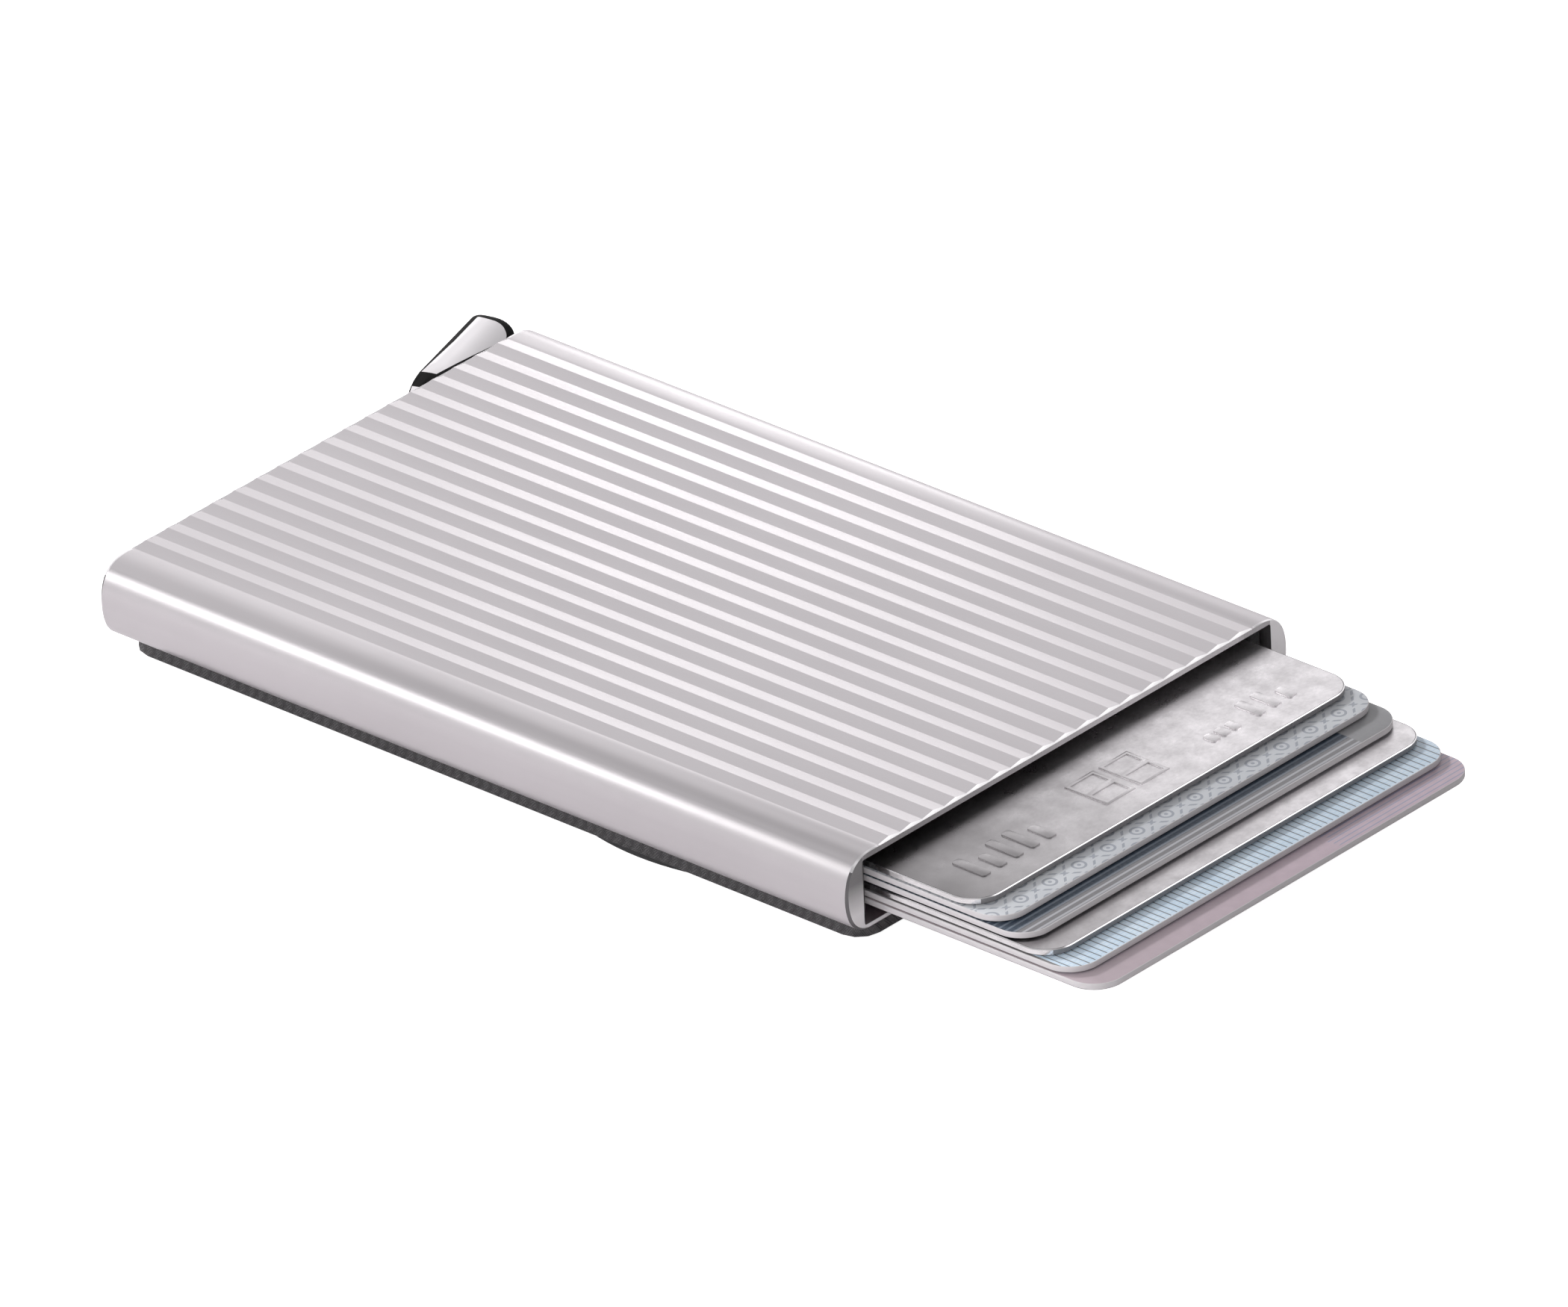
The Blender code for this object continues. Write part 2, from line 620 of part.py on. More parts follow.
def add_slide():
    rail_rear, rail_front = rail_span()
    channel_low = plate_bottom + PLATE_FLOOR
    rail_low = channel_low + CHANNEL_GAP
    rail_high = sleeve_bottom - BOND
    rail_mesh = t_bar_mesh("rail_plate", 0.0, rail_low, rail_high, rail_rear, rail_front)
    rail = add_part("rail_plate", rail_mesh, ((rail_rear + rail_front) / 2, 0, 0), BLACK_PLASTIC)
    for i, place in enumerate(rail_rivet_places()):
        cut_cylinder(rail, f"rail_rivet_seat_{i + 1}", place, rail_low - CUT_OVERRUN,
                     rail_high + CUT_OVERRUN, RAIL_RIVET_RADIUS + RIVET_GAP)
        head_low = cavity_floor + PIN_END_GAP
        turned(f"rail_rivet_{i + 1}", (
            (0.0, head_low + RAIL_RIVET_HEAD),
            (RAIL_RIVET_HEAD_RADIUS, head_low + RAIL_RIVET_HEAD),
            (RAIL_RIVET_HEAD_RADIUS, head_low),
            (RAIL_RIVET_RADIUS, head_low),
            (RAIL_RIVET_RADIUS, rail_low + PIN_END_GAP),
            (0.0, rail_low + PIN_END_GAP),
        ), (*place, 0), STEEL)

    plate = add_box("slide_plate",
                    (plate_rear, -plate_half, plate_bottom),
                    (plate_front, plate_half, plate_top),
                    TEXTURED_PLASTIC, corner_radius=PLATE_CORNER_RADIUS, edge=PLATE_EDGE)
    channel_rear = plate_rear - CUT_OVERRUN
    channel_front = rail_front + RUN_GAP
    channel_mesh = t_bar_mesh("channel_cutter", CHANNEL_GAP, channel_low, plate_top + CUT_OVERRUN,
                              channel_rear, channel_front)
    channel = add_cutter("channel_cutter", channel_mesh, ((channel_rear + channel_front) / 2, 0, 0))
    boolean(plate, channel, "DIFFERENCE")

    stop_rear = plate_rear + STOP_INSET
    stop_mesh = t_bar_mesh("slide_stop", 0.0, rail_low, plate_top - CHANNEL_GAP,
                           stop_rear, stop_rear + STOP_LENGTH)
    add_part("slide_stop", stop_mesh, (stop_rear + STOP_LENGTH / 2, 0, 0), BLACK_PLASTIC)

    pad_radius = plate_half - PAD_SIDE_MARGIN
    pad_x = plate_front - PAD_FRONT_MARGIN - pad_radius
    pad_top = plate_bottom - PAD_BOND
    groove_outer = pad_radius - PAD_RIM
    groove_inner = groove_outer - MAGNET_WIDTH - 2 * MAGNET_GAP
    turned("magnet_pad", (
        (0.0, pad_top),
        (groove_inner, pad_top),
        (groove_inner, PAD_SKIN),
        (groove_outer, PAD_SKIN),
        (groove_outer, pad_top),
        (pad_radius, pad_top),
        (pad_radius, PAD_EDGE),
        (pad_radius - PAD_EDGE, 0.0),
        (0.0, 0.0),
    ), (pad_x, 0, 0), BLACK_PLASTIC, steps=64)
    turned("magnet_ring", (
        (groove_outer - MAGNET_GAP, pad_top - PAD_BOND),
        (groove_outer - MAGNET_GAP, PAD_SKIN + PAD_BOND),
        (groove_inner + MAGNET_GAP, PAD_SKIN + PAD_BOND),
        (groove_inner + MAGNET_GAP, pad_top - PAD_BOND),
    ), (pad_x, 0, 0), MAGNET, closed=True, steps=64)


clear_scene()
parts = new_collection(OBJECT_NAME)
cutters = new_collection(CUTTER_NAME)

add_sleeve()
add_cards()
add_liners()
add_pad_strips()
add_end_cap()
add_lever()
add_slide()
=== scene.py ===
import math

import bmesh
import bpy
from mathutils import Matrix, Vector


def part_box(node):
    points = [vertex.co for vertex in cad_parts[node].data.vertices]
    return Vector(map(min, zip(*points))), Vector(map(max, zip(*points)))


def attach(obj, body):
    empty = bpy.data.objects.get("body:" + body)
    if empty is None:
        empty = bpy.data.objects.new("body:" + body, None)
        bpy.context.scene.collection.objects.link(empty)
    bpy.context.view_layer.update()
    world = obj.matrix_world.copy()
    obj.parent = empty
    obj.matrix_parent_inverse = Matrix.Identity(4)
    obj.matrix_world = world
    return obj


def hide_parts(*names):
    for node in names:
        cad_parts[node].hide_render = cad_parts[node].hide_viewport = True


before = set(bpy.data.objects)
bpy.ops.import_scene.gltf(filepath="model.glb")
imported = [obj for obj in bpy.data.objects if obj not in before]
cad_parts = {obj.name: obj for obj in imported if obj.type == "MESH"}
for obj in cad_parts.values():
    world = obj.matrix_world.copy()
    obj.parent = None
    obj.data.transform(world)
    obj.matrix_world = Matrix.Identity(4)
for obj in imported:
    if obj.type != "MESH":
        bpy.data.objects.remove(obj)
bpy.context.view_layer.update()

mm = 0.001


# shaping

def isVert(item):
    return isinstance(item, bmesh.types.BMVert)


def startLine(point):
    bm = bmesh.new()
    return bm, bm.verts.new(point)


def lineTo(bm, last, point):
    made = bmesh.ops.extrude_vert_indiv(bm, verts=[last])["verts"][0]
    made.co = point
    return made


def arcTo(bm, last, center, degrees, steps, axis=(0, 0, 1)):
    made = bmesh.ops.spin(bm, geom=[last], cent=center, axis=axis,
                          angle=math.radians(degrees), steps=steps)
    return [v for v in made["geom_last"] if isVert(v)][0]


def pullFace(bm, faces, vec):
    made = bmesh.ops.extrude_face_region(bm, geom=faces)
    moved = [v for v in made["geom"] if isVert(v)]
    bmesh.ops.translate(bm, verts=moved, vec=vec)
    return moved


def pullEdges(bm, edges, vec):
    made = bmesh.ops.extrude_edge_only(bm, edges=edges)["geom"]
    bmesh.ops.translate(bm, verts=[v for v in made if isVert(v)], vec=vec)
    return [e for e in made if isinstance(e, bmesh.types.BMEdge)]


def roundEdges(bm, edges, width, segments=2):
    return bmesh.ops.bevel(bm, geom=edges, offset=width, offset_type="OFFSET", segments=segments,
                           profile=0.5, affect="EDGES", clamp_overlap=True, material=-1)["faces"]


def blockFrom(low, high):
    bm = bmesh.new()
    low, high = Vector(low), Vector(high)
    size = Matrix.Diagonal((*(high - low), 1.0))
    bmesh.ops.create_cube(bm, size=1.0, matrix=Matrix.Translation((low + high) / 2) @ size)
    return bm


def uprightEdges(bm):
    return [e for e in bm.edges if abs((e.verts[0].co - e.verts[1].co).normalized().z) > 0.9]


def sharpEdges(bm, degrees):
    return [e for e in bm.edges if len(e.link_faces) == 2
            and e.calc_face_angle(0.0) > math.radians(degrees)]


def spreadNumber(value, low, high, start=0.0, end=1.0):
    share = min(1.0, max(0.0, (value - low) / (high - low)))
    return start + (end - start) * share


def tidyMesh(bm, merge=0.001 * mm):
    bmesh.ops.remove_doubles(bm, verts=bm.verts[:], dist=merge)
    bmesh.ops.recalc_face_normals(bm, faces=bm.faces[:])


def smoothMesh(bm, degrees):
    for face in bm.faces:
        face.smooth = True
    for edge in sharpEdges(bm, degrees):
        edge.smooth = False


def addPiece(name, bm, body, materials, replaces=(), sharpFrom=30):
    smoothMesh(bm, sharpFrom)
    mesh = bpy.data.meshes.new(name)
    bm.to_mesh(mesh)
    bm.free()
    for material in materials:
        mesh.materials.append(material)
    piece = bpy.data.objects.new(name, mesh)
    bpy.context.scene.collection.objects.link(piece)
    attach(piece, body)
    if replaces:
        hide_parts(*replaces)
    return piece


def carve(bm, cutters):
    # cuts each cutter mesh out of bm and gives back a new bmesh
    pieces = []
    for part in [bm] + cutters:
        tidyMesh(part)
        mesh = bpy.data.meshes.new("carving")
        part.to_mesh(mesh)
        part.free()
        pieces.append(bpy.data.objects.new("carving", mesh))
        bpy.context.scene.collection.objects.link(pieces[-1])
    for cutter in pieces[1:]:
        cut = pieces[0].modifiers.new("cut", "BOOLEAN")
        cut.operation, cut.solver, cut.object = "DIFFERENCE", "EXACT", cutter
    carved = bmesh.new()
    carved.from_object(pieces[0], bpy.context.evaluated_depsgraph_get())
    for piece in pieces:
        bpy.data.objects.remove(piece, do_unlink=True)
    tidyMesh(carved)
    return carved


def copyNode(node, edge=0.12 * mm, segments=2, degrees=35):
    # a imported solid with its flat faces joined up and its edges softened
    bm = bmesh.new()
    bm.from_mesh(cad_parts[node].data)
    tidyMesh(bm)
    bmesh.ops.dissolve_limit(bm, angle_limit=math.radians(1), verts=bm.verts[:], edges=bm.edges[:])
    if edge:
        roundEdges(bm, sharpEdges(bm, degrees), edge, segments)
    return bm


# materials

def newMaterial(name, color, roughness, metallic=0.0, **constants):
    material = bpy.data.materials.new(name)
    material.use_nodes = True
    inputs = material.node_tree.nodes["Principled BSDF"].inputs
    inputs["Base Color"].default_value = (*color, 1.0)
    inputs["Roughness"].default_value = roughness
    inputs["Metallic"].default_value = metallic
    for socket, value in constants.items():
        inputs[socket.replace("_", " ")].default_value = value
    return material, material.node_tree


def dress(material, color, rough=None, normal=None):
    # joins what a material's nodes give to its shader
    tree = material.node_tree
    for socket, value in (("Base Color", color), ("Roughness", rough), ("Normal", normal)):
        if value:
            tree.links.new(value, tree.nodes["Principled BSDF"].inputs[socket])
    return material


def addNode(tree, kind, **values):
    made = tree.nodes.new("ShaderNode" + kind)
    for name, value in values.items():
        setattr(made, name, value)
    return made


def feed(tree, socket, value):
    if isinstance(value, bpy.types.NodeSocket):
        tree.links.new(value, socket)
    else:
        socket.default_value = value


def objectPlace(tree, stretch=(1, 1, 1), turn=(0, 0, 0), start=(0, 0, 0)):
    mapping = addNode(tree, "Mapping")
    tree.links.new(addNode(tree, "TexCoord").outputs["Object"], mapping.inputs["Vector"])
    mapping.inputs["Scale"].default_value = stretch
    mapping.inputs["Rotation"].default_value = [math.radians(a) for a in turn]
    mapping.inputs["Location"].default_value = start
    return mapping.outputs["Vector"]


def noise(tree, place, scale, detail=3.0, rough=0.5):
    made = addNode(tree, "TexNoise")
    tree.links.new(place, made.inputs["Vector"])
    made.inputs["Scale"].default_value = scale
    made.inputs["Detail"].default_value = detail
    made.inputs["Roughness"].default_value = rough
    return made.outputs["Fac"]


def spread(tree, value, low, high, start=0.0, end=1.0):
    made = addNode(tree, "MapRange")
    feed(tree, made.inputs["Value"], value)
    for socket, number in (("From Min", low), ("From Max", high), ("To Min", start), ("To Max", end)):
        made.inputs[socket].default_value = number
    return made.outputs["Result"]


def maths(tree, operation, first, second=0.0):
    made = addNode(tree, "Math", operation=operation)
    feed(tree, made.inputs[0], first)
    feed(tree, made.inputs[1], second)
    return made.outputs[0]


def mixColor(tree, factor, first, second, mode="MIX"):
    made = addNode(tree, "Mix", data_type="RGBA", blend_type=mode)
    feed(tree, made.inputs[0], factor)
    feed(tree, made.inputs[6], first if isinstance(first, bpy.types.NodeSocket) else (*first, 1.0))
    feed(tree, made.inputs[7], second if isinstance(second, bpy.types.NodeSocket) else (*second, 1.0))
    return made.outputs[2]


def colorSteps(tree, value, stops):
    made = addNode(tree, "ValToRGB")
    tree.links.new(value, made.inputs["Fac"])
    ramp = made.color_ramp
    while len(ramp.elements) < len(stops):
        ramp.elements.new(0.5)
    for element, (position, color) in zip(ramp.elements, stops):
        element.position = position
        element.color = (*color, 1.0)
    return made.outputs["Color"]


def bump(tree, height, strength, depth, under=None):
    made = addNode(tree, "Bump")
    made.inputs["Strength"].default_value = strength
    made.inputs["Distance"].default_value = depth
    tree.links.new(height, made.inputs["Height"])
    if under:
        tree.links.new(under, made.inputs["Normal"])
    return made.outputs["Normal"]


def axisValue(tree, axis):
    split = addNode(tree, "SeparateXYZ")
    tree.links.new(addNode(tree, "TexCoord").outputs["Object"], split.inputs[0])
    return split.outputs[axis]


def cell(tree, value, period):
    # how far a value lies from the middle of its cell, 0 to 0.5
    fraction = maths(tree, "FRACT", maths(tree, "DIVIDE", value, period))
    return maths(tree, "ABSOLUTE", maths(tree, "SUBTRACT", fraction, 0.5))


aluminiumLook = dict(light=(0.725, 0.698, 0.713), dark=(0.685, 0.658, 0.673), roughness=0.33,
                     grain=4200, streaks=900)


def satinAluminium():
    look = aluminiumLook
    material, tree = newMaterial("satinAluminium", look["light"], look["roughness"], 1.0)
    place = objectPlace(tree)
    along = objectPlace(tree, stretch=(0.02, 1, 1))
    cloud = noise(tree, place, 60, 4)
    grain = noise(tree, place, look["grain"], 2, 0.6)
    streak = noise(tree, along, look["streaks"], 3)
    tone = maths(tree, "ADD", maths(tree, "MULTIPLY", cloud, 0.6), maths(tree, "MULTIPLY", streak, 0.4))
    color = mixColor(tree, spread(tree, tone, 0.35, 0.65), look["dark"], look["light"])
    rough = spread(tree, maths(tree, "ADD", grain, streak), 0.7, 1.3,
                   look["roughness"] - 0.03, look["roughness"] + 0.04)
    return dress(material, color, rough, bump(tree, grain, 0.12, 0.01 * mm))


cutPaintedReflectionLook = dict(bottom=5.2 * mm, top=8.5 * mm, shade=(0.1, 0.098, 0.1), depth=0.83)


def cutAluminium():
    # bare cut metal, with a painted dark reflection on the near side of the mouth
    look = cutPaintedReflectionLook
    material, tree = newMaterial("cutAluminium", (0.8, 0.78, 0.79), 0.5, 0.35)
    lines = noise(tree, objectPlace(tree, stretch=(0.3, 0.02, 1)), 9000, 2)
    rough = spread(tree, lines, 0.3, 0.7, 0.42, 0.56)
    color = mixColor(tree, noise(tree, objectPlace(tree), 300, 3), (0.9, 0.88, 0.89), (0.96, 0.945, 0.95))
    x, y, z = (axisValue(tree, axis) for axis in "XYZ")
    # painted dark reflection: rises from the bottom height to the top height, only on the mouth's near side
    band = spread(tree, z, look["bottom"], look["top"])
    mouth = maths(tree, "MULTIPLY", maths(tree, "GREATER_THAN", x), maths(tree, "LESS_THAN", y))
    band = maths(tree, "MULTIPLY", maths(tree, "MULTIPLY", band, mouth), look["depth"])
    color = mixColor(tree, band, color, look["shade"])
    return dress(material, color, rough, bump(tree, lines, 0.1, 0.01 * mm))


def polishedChrome():
    material, tree = newMaterial("polishedChrome", (0.87, 0.85, 0.865), 0.06, 1.0)
    smudge = noise(tree, objectPlace(tree), 160, 4)
    hair = noise(tree, objectPlace(tree, stretch=(1, 0.03, 1), turn=(0, 0, 17)), 6000, 2)
    rough = spread(tree, smudge, 0.45, 0.8, 0.04, 0.12)
    rough = maths(tree, "ADD", rough, maths(tree, "MULTIPLY", hair, 0.02))
    color = mixColor(tree, spread(tree, smudge, 0.4, 0.8), (0.885, 0.865, 0.88), (0.82, 0.8, 0.815))
    return dress(material, color, rough, bump(tree, hair, 0.03, 0.005 * mm))


# glossy black; on the lever it paints the chrome's dark reflections
def blackAndDarkReflection():
    material, tree = newMaterial("blackAndDarkReflection", (0.002, 0.002, 0.002), 0.25, Specular_IOR_Level=0.06)
    wear = noise(tree, objectPlace(tree), 900, 4)
    color = mixColor(tree, spread(tree, wear, 0.6, 0.8), (0.0005, 0.0005, 0.0005), (0.003, 0.003, 0.003))
    return dress(material, color, spread(tree, wear, 0.3, 0.7, 0.15, 0.3))


def steelLook(name, color, roughness, scale=2500):
    material, tree = newMaterial(name, color, roughness, 1.0)
    marks = noise(tree, objectPlace(tree, stretch=(1, 1, 0.1)), scale, 3)
    darker = tuple(c * 0.82 for c in color)
    rough = spread(tree, marks, 0.3, 0.7, roughness - 0.08, roughness + 0.1)
    return dress(material, mixColor(tree, marks, darker, color), rough, bump(tree, marks, 0.15, 0.01 * mm))


def mouldedPlastic(name, color, roughness=0.5, grain=3500):
    material, tree = newMaterial(name, color, roughness)
    place = objectPlace(tree)
    fine = noise(tree, place, grain, 3, 0.6)
    cloud = noise(tree, place, 120, 3)
    lighter = tuple(c * 1.5 + 0.004 for c in color)
    rough = spread(tree, fine, 0.3, 0.7, roughness - 0.07, roughness + 0.1)
    color = mixColor(tree, spread(tree, cloud, 0.35, 0.75), color, lighter)
    return dress(material, color, rough, bump(tree, fine, 0.25, 0.02 * mm))


def darkFelt():
    material, tree = newMaterial("darkFelt", (0.018, 0.018, 0.019), 0.95, Sheen_Weight=0.25)
    fibre = noise(tree, objectPlace(tree, stretch=(0.35, 1, 1), turn=(0, 0, 25)), 3800, 5, 0.7)
    crossing = noise(tree, objectPlace(tree, stretch=(1, 0.35, 1), turn=(0, 20, -35)), 3000, 5, 0.7)
    fuzz = maths(tree, "MAXIMUM", fibre, crossing)
    color = mixColor(tree, spread(tree, fuzz, 0.4, 0.75), (0.009, 0.009, 0.01), (0.045, 0.044, 0.046))
    return dress(material, color, normal=bump(tree, fuzz, 0.8, 0.08 * mm))


gripLook = dict(color=(0.135, 0.13, 0.134), deep=(0.009, 0.009, 0.01),
                hatch=0.3 * mm, weave=1.2 * mm, roughness=0.62)


def grippyPlastic():
    # fine hatching at two slants, over the modelled cells
    look = gripLook
    material, tree = newMaterial("grippyPlastic", look["color"], look["roughness"])
    place = objectPlace(tree)
    x, y, z = (axisValue(tree, axis) for axis in "XYZ")
    run = maths(tree, "ADD", x, y)
    one = cell(tree, maths(tree, "ADD", run, z), look["hatch"])
    two = cell(tree, maths(tree, "SUBTRACT", run, z), look["hatch"])
    # two slants that cross on every side of the plate part its patches
    up = maths(tree, "MULTIPLY", z, 0.5)
    down = maths(tree, "SUBTRACT", maths(tree, "SUBTRACT", x, y), up)
    first = cell(tree, maths(tree, "ADD", run, z), look["weave"])
    second = cell(tree, down, look["weave"])
    turned = maths(tree, "GREATER_THAN", first, second)
    hatch = addNode(tree, "Mix")
    feed(tree, hatch.inputs[0], turned)
    feed(tree, hatch.inputs[2], one)
    feed(tree, hatch.inputs[3], two)
    fine = noise(tree, place, 5200, 4, 0.65)
    height = maths(tree, "MULTIPLY", hatch.outputs[0], 0.9)
    height = maths(tree, "ADD", height, maths(tree, "MULTIPLY", fine, 0.7))
    height = maths(tree, "ADD", height, maths(tree, "MULTIPLY", turned, 0.15))
    height = maths(tree, "ADD", height, maths(tree, "MULTIPLY", maths(tree, "MAXIMUM", first, second), -0.25))
    # colour follows the relief: the plate's own dark tone, made darker in the grooves as painted shade
    color = mixColor(tree, spread(tree, height, 0.2, 0.85), look["deep"], look["color"])
    rough = spread(tree, fine, 0.3, 0.7, 0.52, 0.75)
    return dress(material, color, rough, bump(tree, height, 1.0, 0.12 * mm))


metalCardLook = dict(grain=2600, cloud=420, broad=110, shadeFrom=-30 * mm, shadeTo=9 * mm)


def cardMetal(name, near, far, roughness):
    # rolled sheet with a fine leathery grain, darker towards its near edge as painted shade
    look = metalCardLook
    material, tree = newMaterial(name, far, roughness, 1.0)
    place = objectPlace(tree)
    grain = noise(tree, objectPlace(tree, stretch=(1, 0.7, 1), turn=(0, 0, 30)), look["grain"], 4, 0.6)
    cloud = noise(tree, place, look["cloud"], 4, 0.6)
    broad = noise(tree, place, look["broad"], 3)
    tone = maths(tree, "ADD", maths(tree, "MULTIPLY", grain, 0.35), maths(tree, "MULTIPLY", cloud, 0.65))
    shade = maths(tree, "ADD", spread(tree, axisValue(tree, "Y"), look["shadeFrom"], look["shadeTo"]),
                  spread(tree, broad, 0.3, 0.7, -0.12, 0.12))
    color = mixColor(tree, shade, near, far)
    color = mixColor(tree, spread(tree, tone, 0.36, 0.64, 0.0, 0.36), color, (0.34, 0.325, 0.33))
    rough = spread(tree, tone, 0.35, 0.65, roughness - 0.04, roughness + 0.05)
    return dress(material, color, rough, bump(tree, grain, 0.2, 0.01 * mm))


def cardEdgeMetal():
    # sawn and ground edge, mottled bright and dull
    material, tree = newMaterial("cardEdgeMetal", (0.9, 0.88, 0.89), 0.16, 1.0)
    marks = noise(tree, objectPlace(tree, stretch=(0.4, 0.4, 1)), 2400, 4, 0.65)
    color = mixColor(tree, spread(tree, marks, 0.4, 0.65), (1.0, 0.985, 0.99), (0.9, 0.885, 0.89))
    return dress(material, color, spread(tree, marks, 0.3, 0.7, 0.12, 0.3))


def cardChamferMetal():
    material, tree = newMaterial("cardChamferMetal", (0.97, 0.96, 0.97), 0.12, 1.0)
    marks = noise(tree, objectPlace(tree, stretch=(0.1, 0.1, 1)), 5000, 2)
    color = mixColor(tree, marks, (0.9, 0.88, 0.89), (0.98, 0.97, 0.98))
    return dress(material, color, spread(tree, marks, 0.3, 0.7, 0.1, 0.16))


def cardEdgePlastic():
    # a pale core between two clear skins
    material, tree = newMaterial("cardEdgePlastic", (0.6, 0.575, 0.59), 0.45)
    marks = noise(tree, objectPlace(tree, stretch=(0.1, 0.1, 1)), 6000, 3)
    color = mixColor(tree, marks, (0.56, 0.535, 0.55), (0.66, 0.635, 0.65))
    return dress(material, color, normal=bump(tree, marks, 0.1, 0.01 * mm))


glossCoat = dict(Coat_Weight=0.25, Coat_Roughness=0.15)

latticeLook = dict(paper=(0.56, 0.575, 0.61), light=(0.65, 0.665, 0.695), ink=(0.2, 0.22, 0.28),
                   pitch=4.1 * mm)


def latticePrint():
    # small rings in a slanted lattice of dashes
    look = latticeLook
    material, tree = newMaterial("latticePrint", look["paper"], 0.4, **glossCoat)
    x, y = axisValue(tree, "X"), axisValue(tree, "Y")
    one = cell(tree, maths(tree, "ADD", x, y), look["pitch"])
    two = cell(tree, maths(tree, "SUBTRACT", x, y), look["pitch"])
    square = maths(tree, "ADD", maths(tree, "MULTIPLY", one, one), maths(tree, "MULTIPLY", two, two))
    far = maths(tree, "SQRT", square)
    ring = maths(tree, "MULTIPLY", maths(tree, "LESS_THAN", far, 0.27),
                 maths(tree, "GREATER_THAN", far, 0.18))
    dot = maths(tree, "LESS_THAN", far, 0.07)
    fine = cell(tree, x, look["pitch"] / 5)
    line = maths(tree, "MULTIPLY", maths(tree, "GREATER_THAN", maths(tree, "MAXIMUM", one, two), 0.455),
                 maths(tree, "GREATER_THAN", fine, 0.16))
    ink = maths(tree, "MAXIMUM", maths(tree, "MAXIMUM", ring, dot), line)
    cloud = spread(tree, noise(tree, objectPlace(tree), 90, 3), 0.35, 0.65)
    paper = mixColor(tree, cloud, look["paper"], look["light"])
    color = mixColor(tree, maths(tree, "MULTIPLY", ink, 0.6), paper, look["ink"])
    return dress(material, color)


stripeLook = dict(pitch=0.76 * mm, navyDepth=1.95 * mm, plainDepth=0.12 * mm,
                  pale=(0.43, 0.43, 0.46), dull=(0.2, 0.195, 0.205),
                  blue=(0.12, 0.15, 0.19), navy=(0.018, 0.035, 0.06),
                  plain=(0.27, 0.268, 0.28), plainFrom=20.6 * mm)


def stripePrint():
    # stripes along the front edge, greyer there and navy further in, and a plain far end; the navy beside
    # card 2's edge is print darkened further as painted shade
    look = stripeLook
    material, tree = newMaterial("stripePrint", look["dull"], 0.42, **glossCoat)
    x = axisValue(tree, "X")
    inward = maths(tree, "SUBTRACT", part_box("card_3")[1].x, x)
    stripe = spread(tree, cell(tree, inward, look["pitch"]), 0.14, 0.2)
    margin = spread(tree, inward, look["plainDepth"], look["plainDepth"] + 0.1 * mm)
    stripe = maths(tree, "MULTIPLY", stripe, margin)
    grey = mixColor(tree, stripe, look["pale"], look["dull"])
    cool = mixColor(tree, stripe, look["blue"], look["navy"])
    deep = spread(tree, inward, look["navyDepth"] - 0.4 * mm, look["navyDepth"])
    color = mixColor(tree, deep, grey, cool)
    far = spread(tree, axisValue(tree, "Y"), look["plainFrom"], look["plainFrom"] + 0.1 * mm)
    color = mixColor(tree, far, color, look["plain"])
    fleck = spread(tree, noise(tree, objectPlace(tree), 2600, 2), 0.3, 0.7, 0.0, 0.1)
    return dress(material, mixColor(tree, fleck, color, (0.4, 0.4, 0.42)))


ruledLook = dict(paper=(0.63, 0.74, 0.85), light=(0.72, 0.81, 0.9), ink=(0.1, 0.11, 0.13),
                 fineInk=(0.3, 0.5, 0.72), pitch=0.82 * mm, fine=0.41 * mm, margin=0.22 * mm,
                 shadeStripWidth=0.35 * mm, paintedShadeStrip=(0.2, 0.19, 0.195))


def ruledPrint():
    # dark lines along the card over a fine blue grid
    look = ruledLook
    material, tree = newMaterial("ruledPrint", look["paper"], 0.4, **glossCoat)
    x, y = axisValue(tree, "X"), axisValue(tree, "Y")
    inward = maths(tree, "SUBTRACT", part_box("card_5")[1].x, x)
    line = maths(tree, "MULTIPLY", maths(tree, "GREATER_THAN", cell(tree, y, look["pitch"]), 0.41),
                 maths(tree, "GREATER_THAN", inward, look["margin"]))
    across = cell(tree, maths(tree, "ADD", y, look["fine"] * 0.5), look["fine"])
    grid = maths(tree, "MAXIMUM", cell(tree, x, look["fine"] * 1.3), across)
    grid = maths(tree, "GREATER_THAN", grid, 0.42)
    cloud = spread(tree, noise(tree, objectPlace(tree), 300, 3), 0.35, 0.65)
    paper = mixColor(tree, cloud, look["paper"], look["light"])
    inked = mixColor(tree, maths(tree, "MULTIPLY", grid, 0.35), paper, look["fineInk"])
    # a dark strip along the near edge: painted shade of the gap under card 4
    paintedShadeStrip = maths(tree, "LESS_THAN", y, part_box("card_5")[0].y + look["shadeStripWidth"])
    inked = mixColor(tree, paintedShadeStrip, inked, look["paintedShadeStrip"])
    color = mixColor(tree, maths(tree, "MULTIPLY", line, 0.85), inked, look["ink"])
    return dress(material, color)


roseLook = dict(near=(0.46, 0.385, 0.42), far=(0.58, 0.46, 0.53), ink=(0.16, 0.26, 0.42),
                fadeFrom=-27 * mm, fadeTo=20 * mm, pitch=0.62 * mm, lineStart=4 * mm, lineSpread=7 * mm)


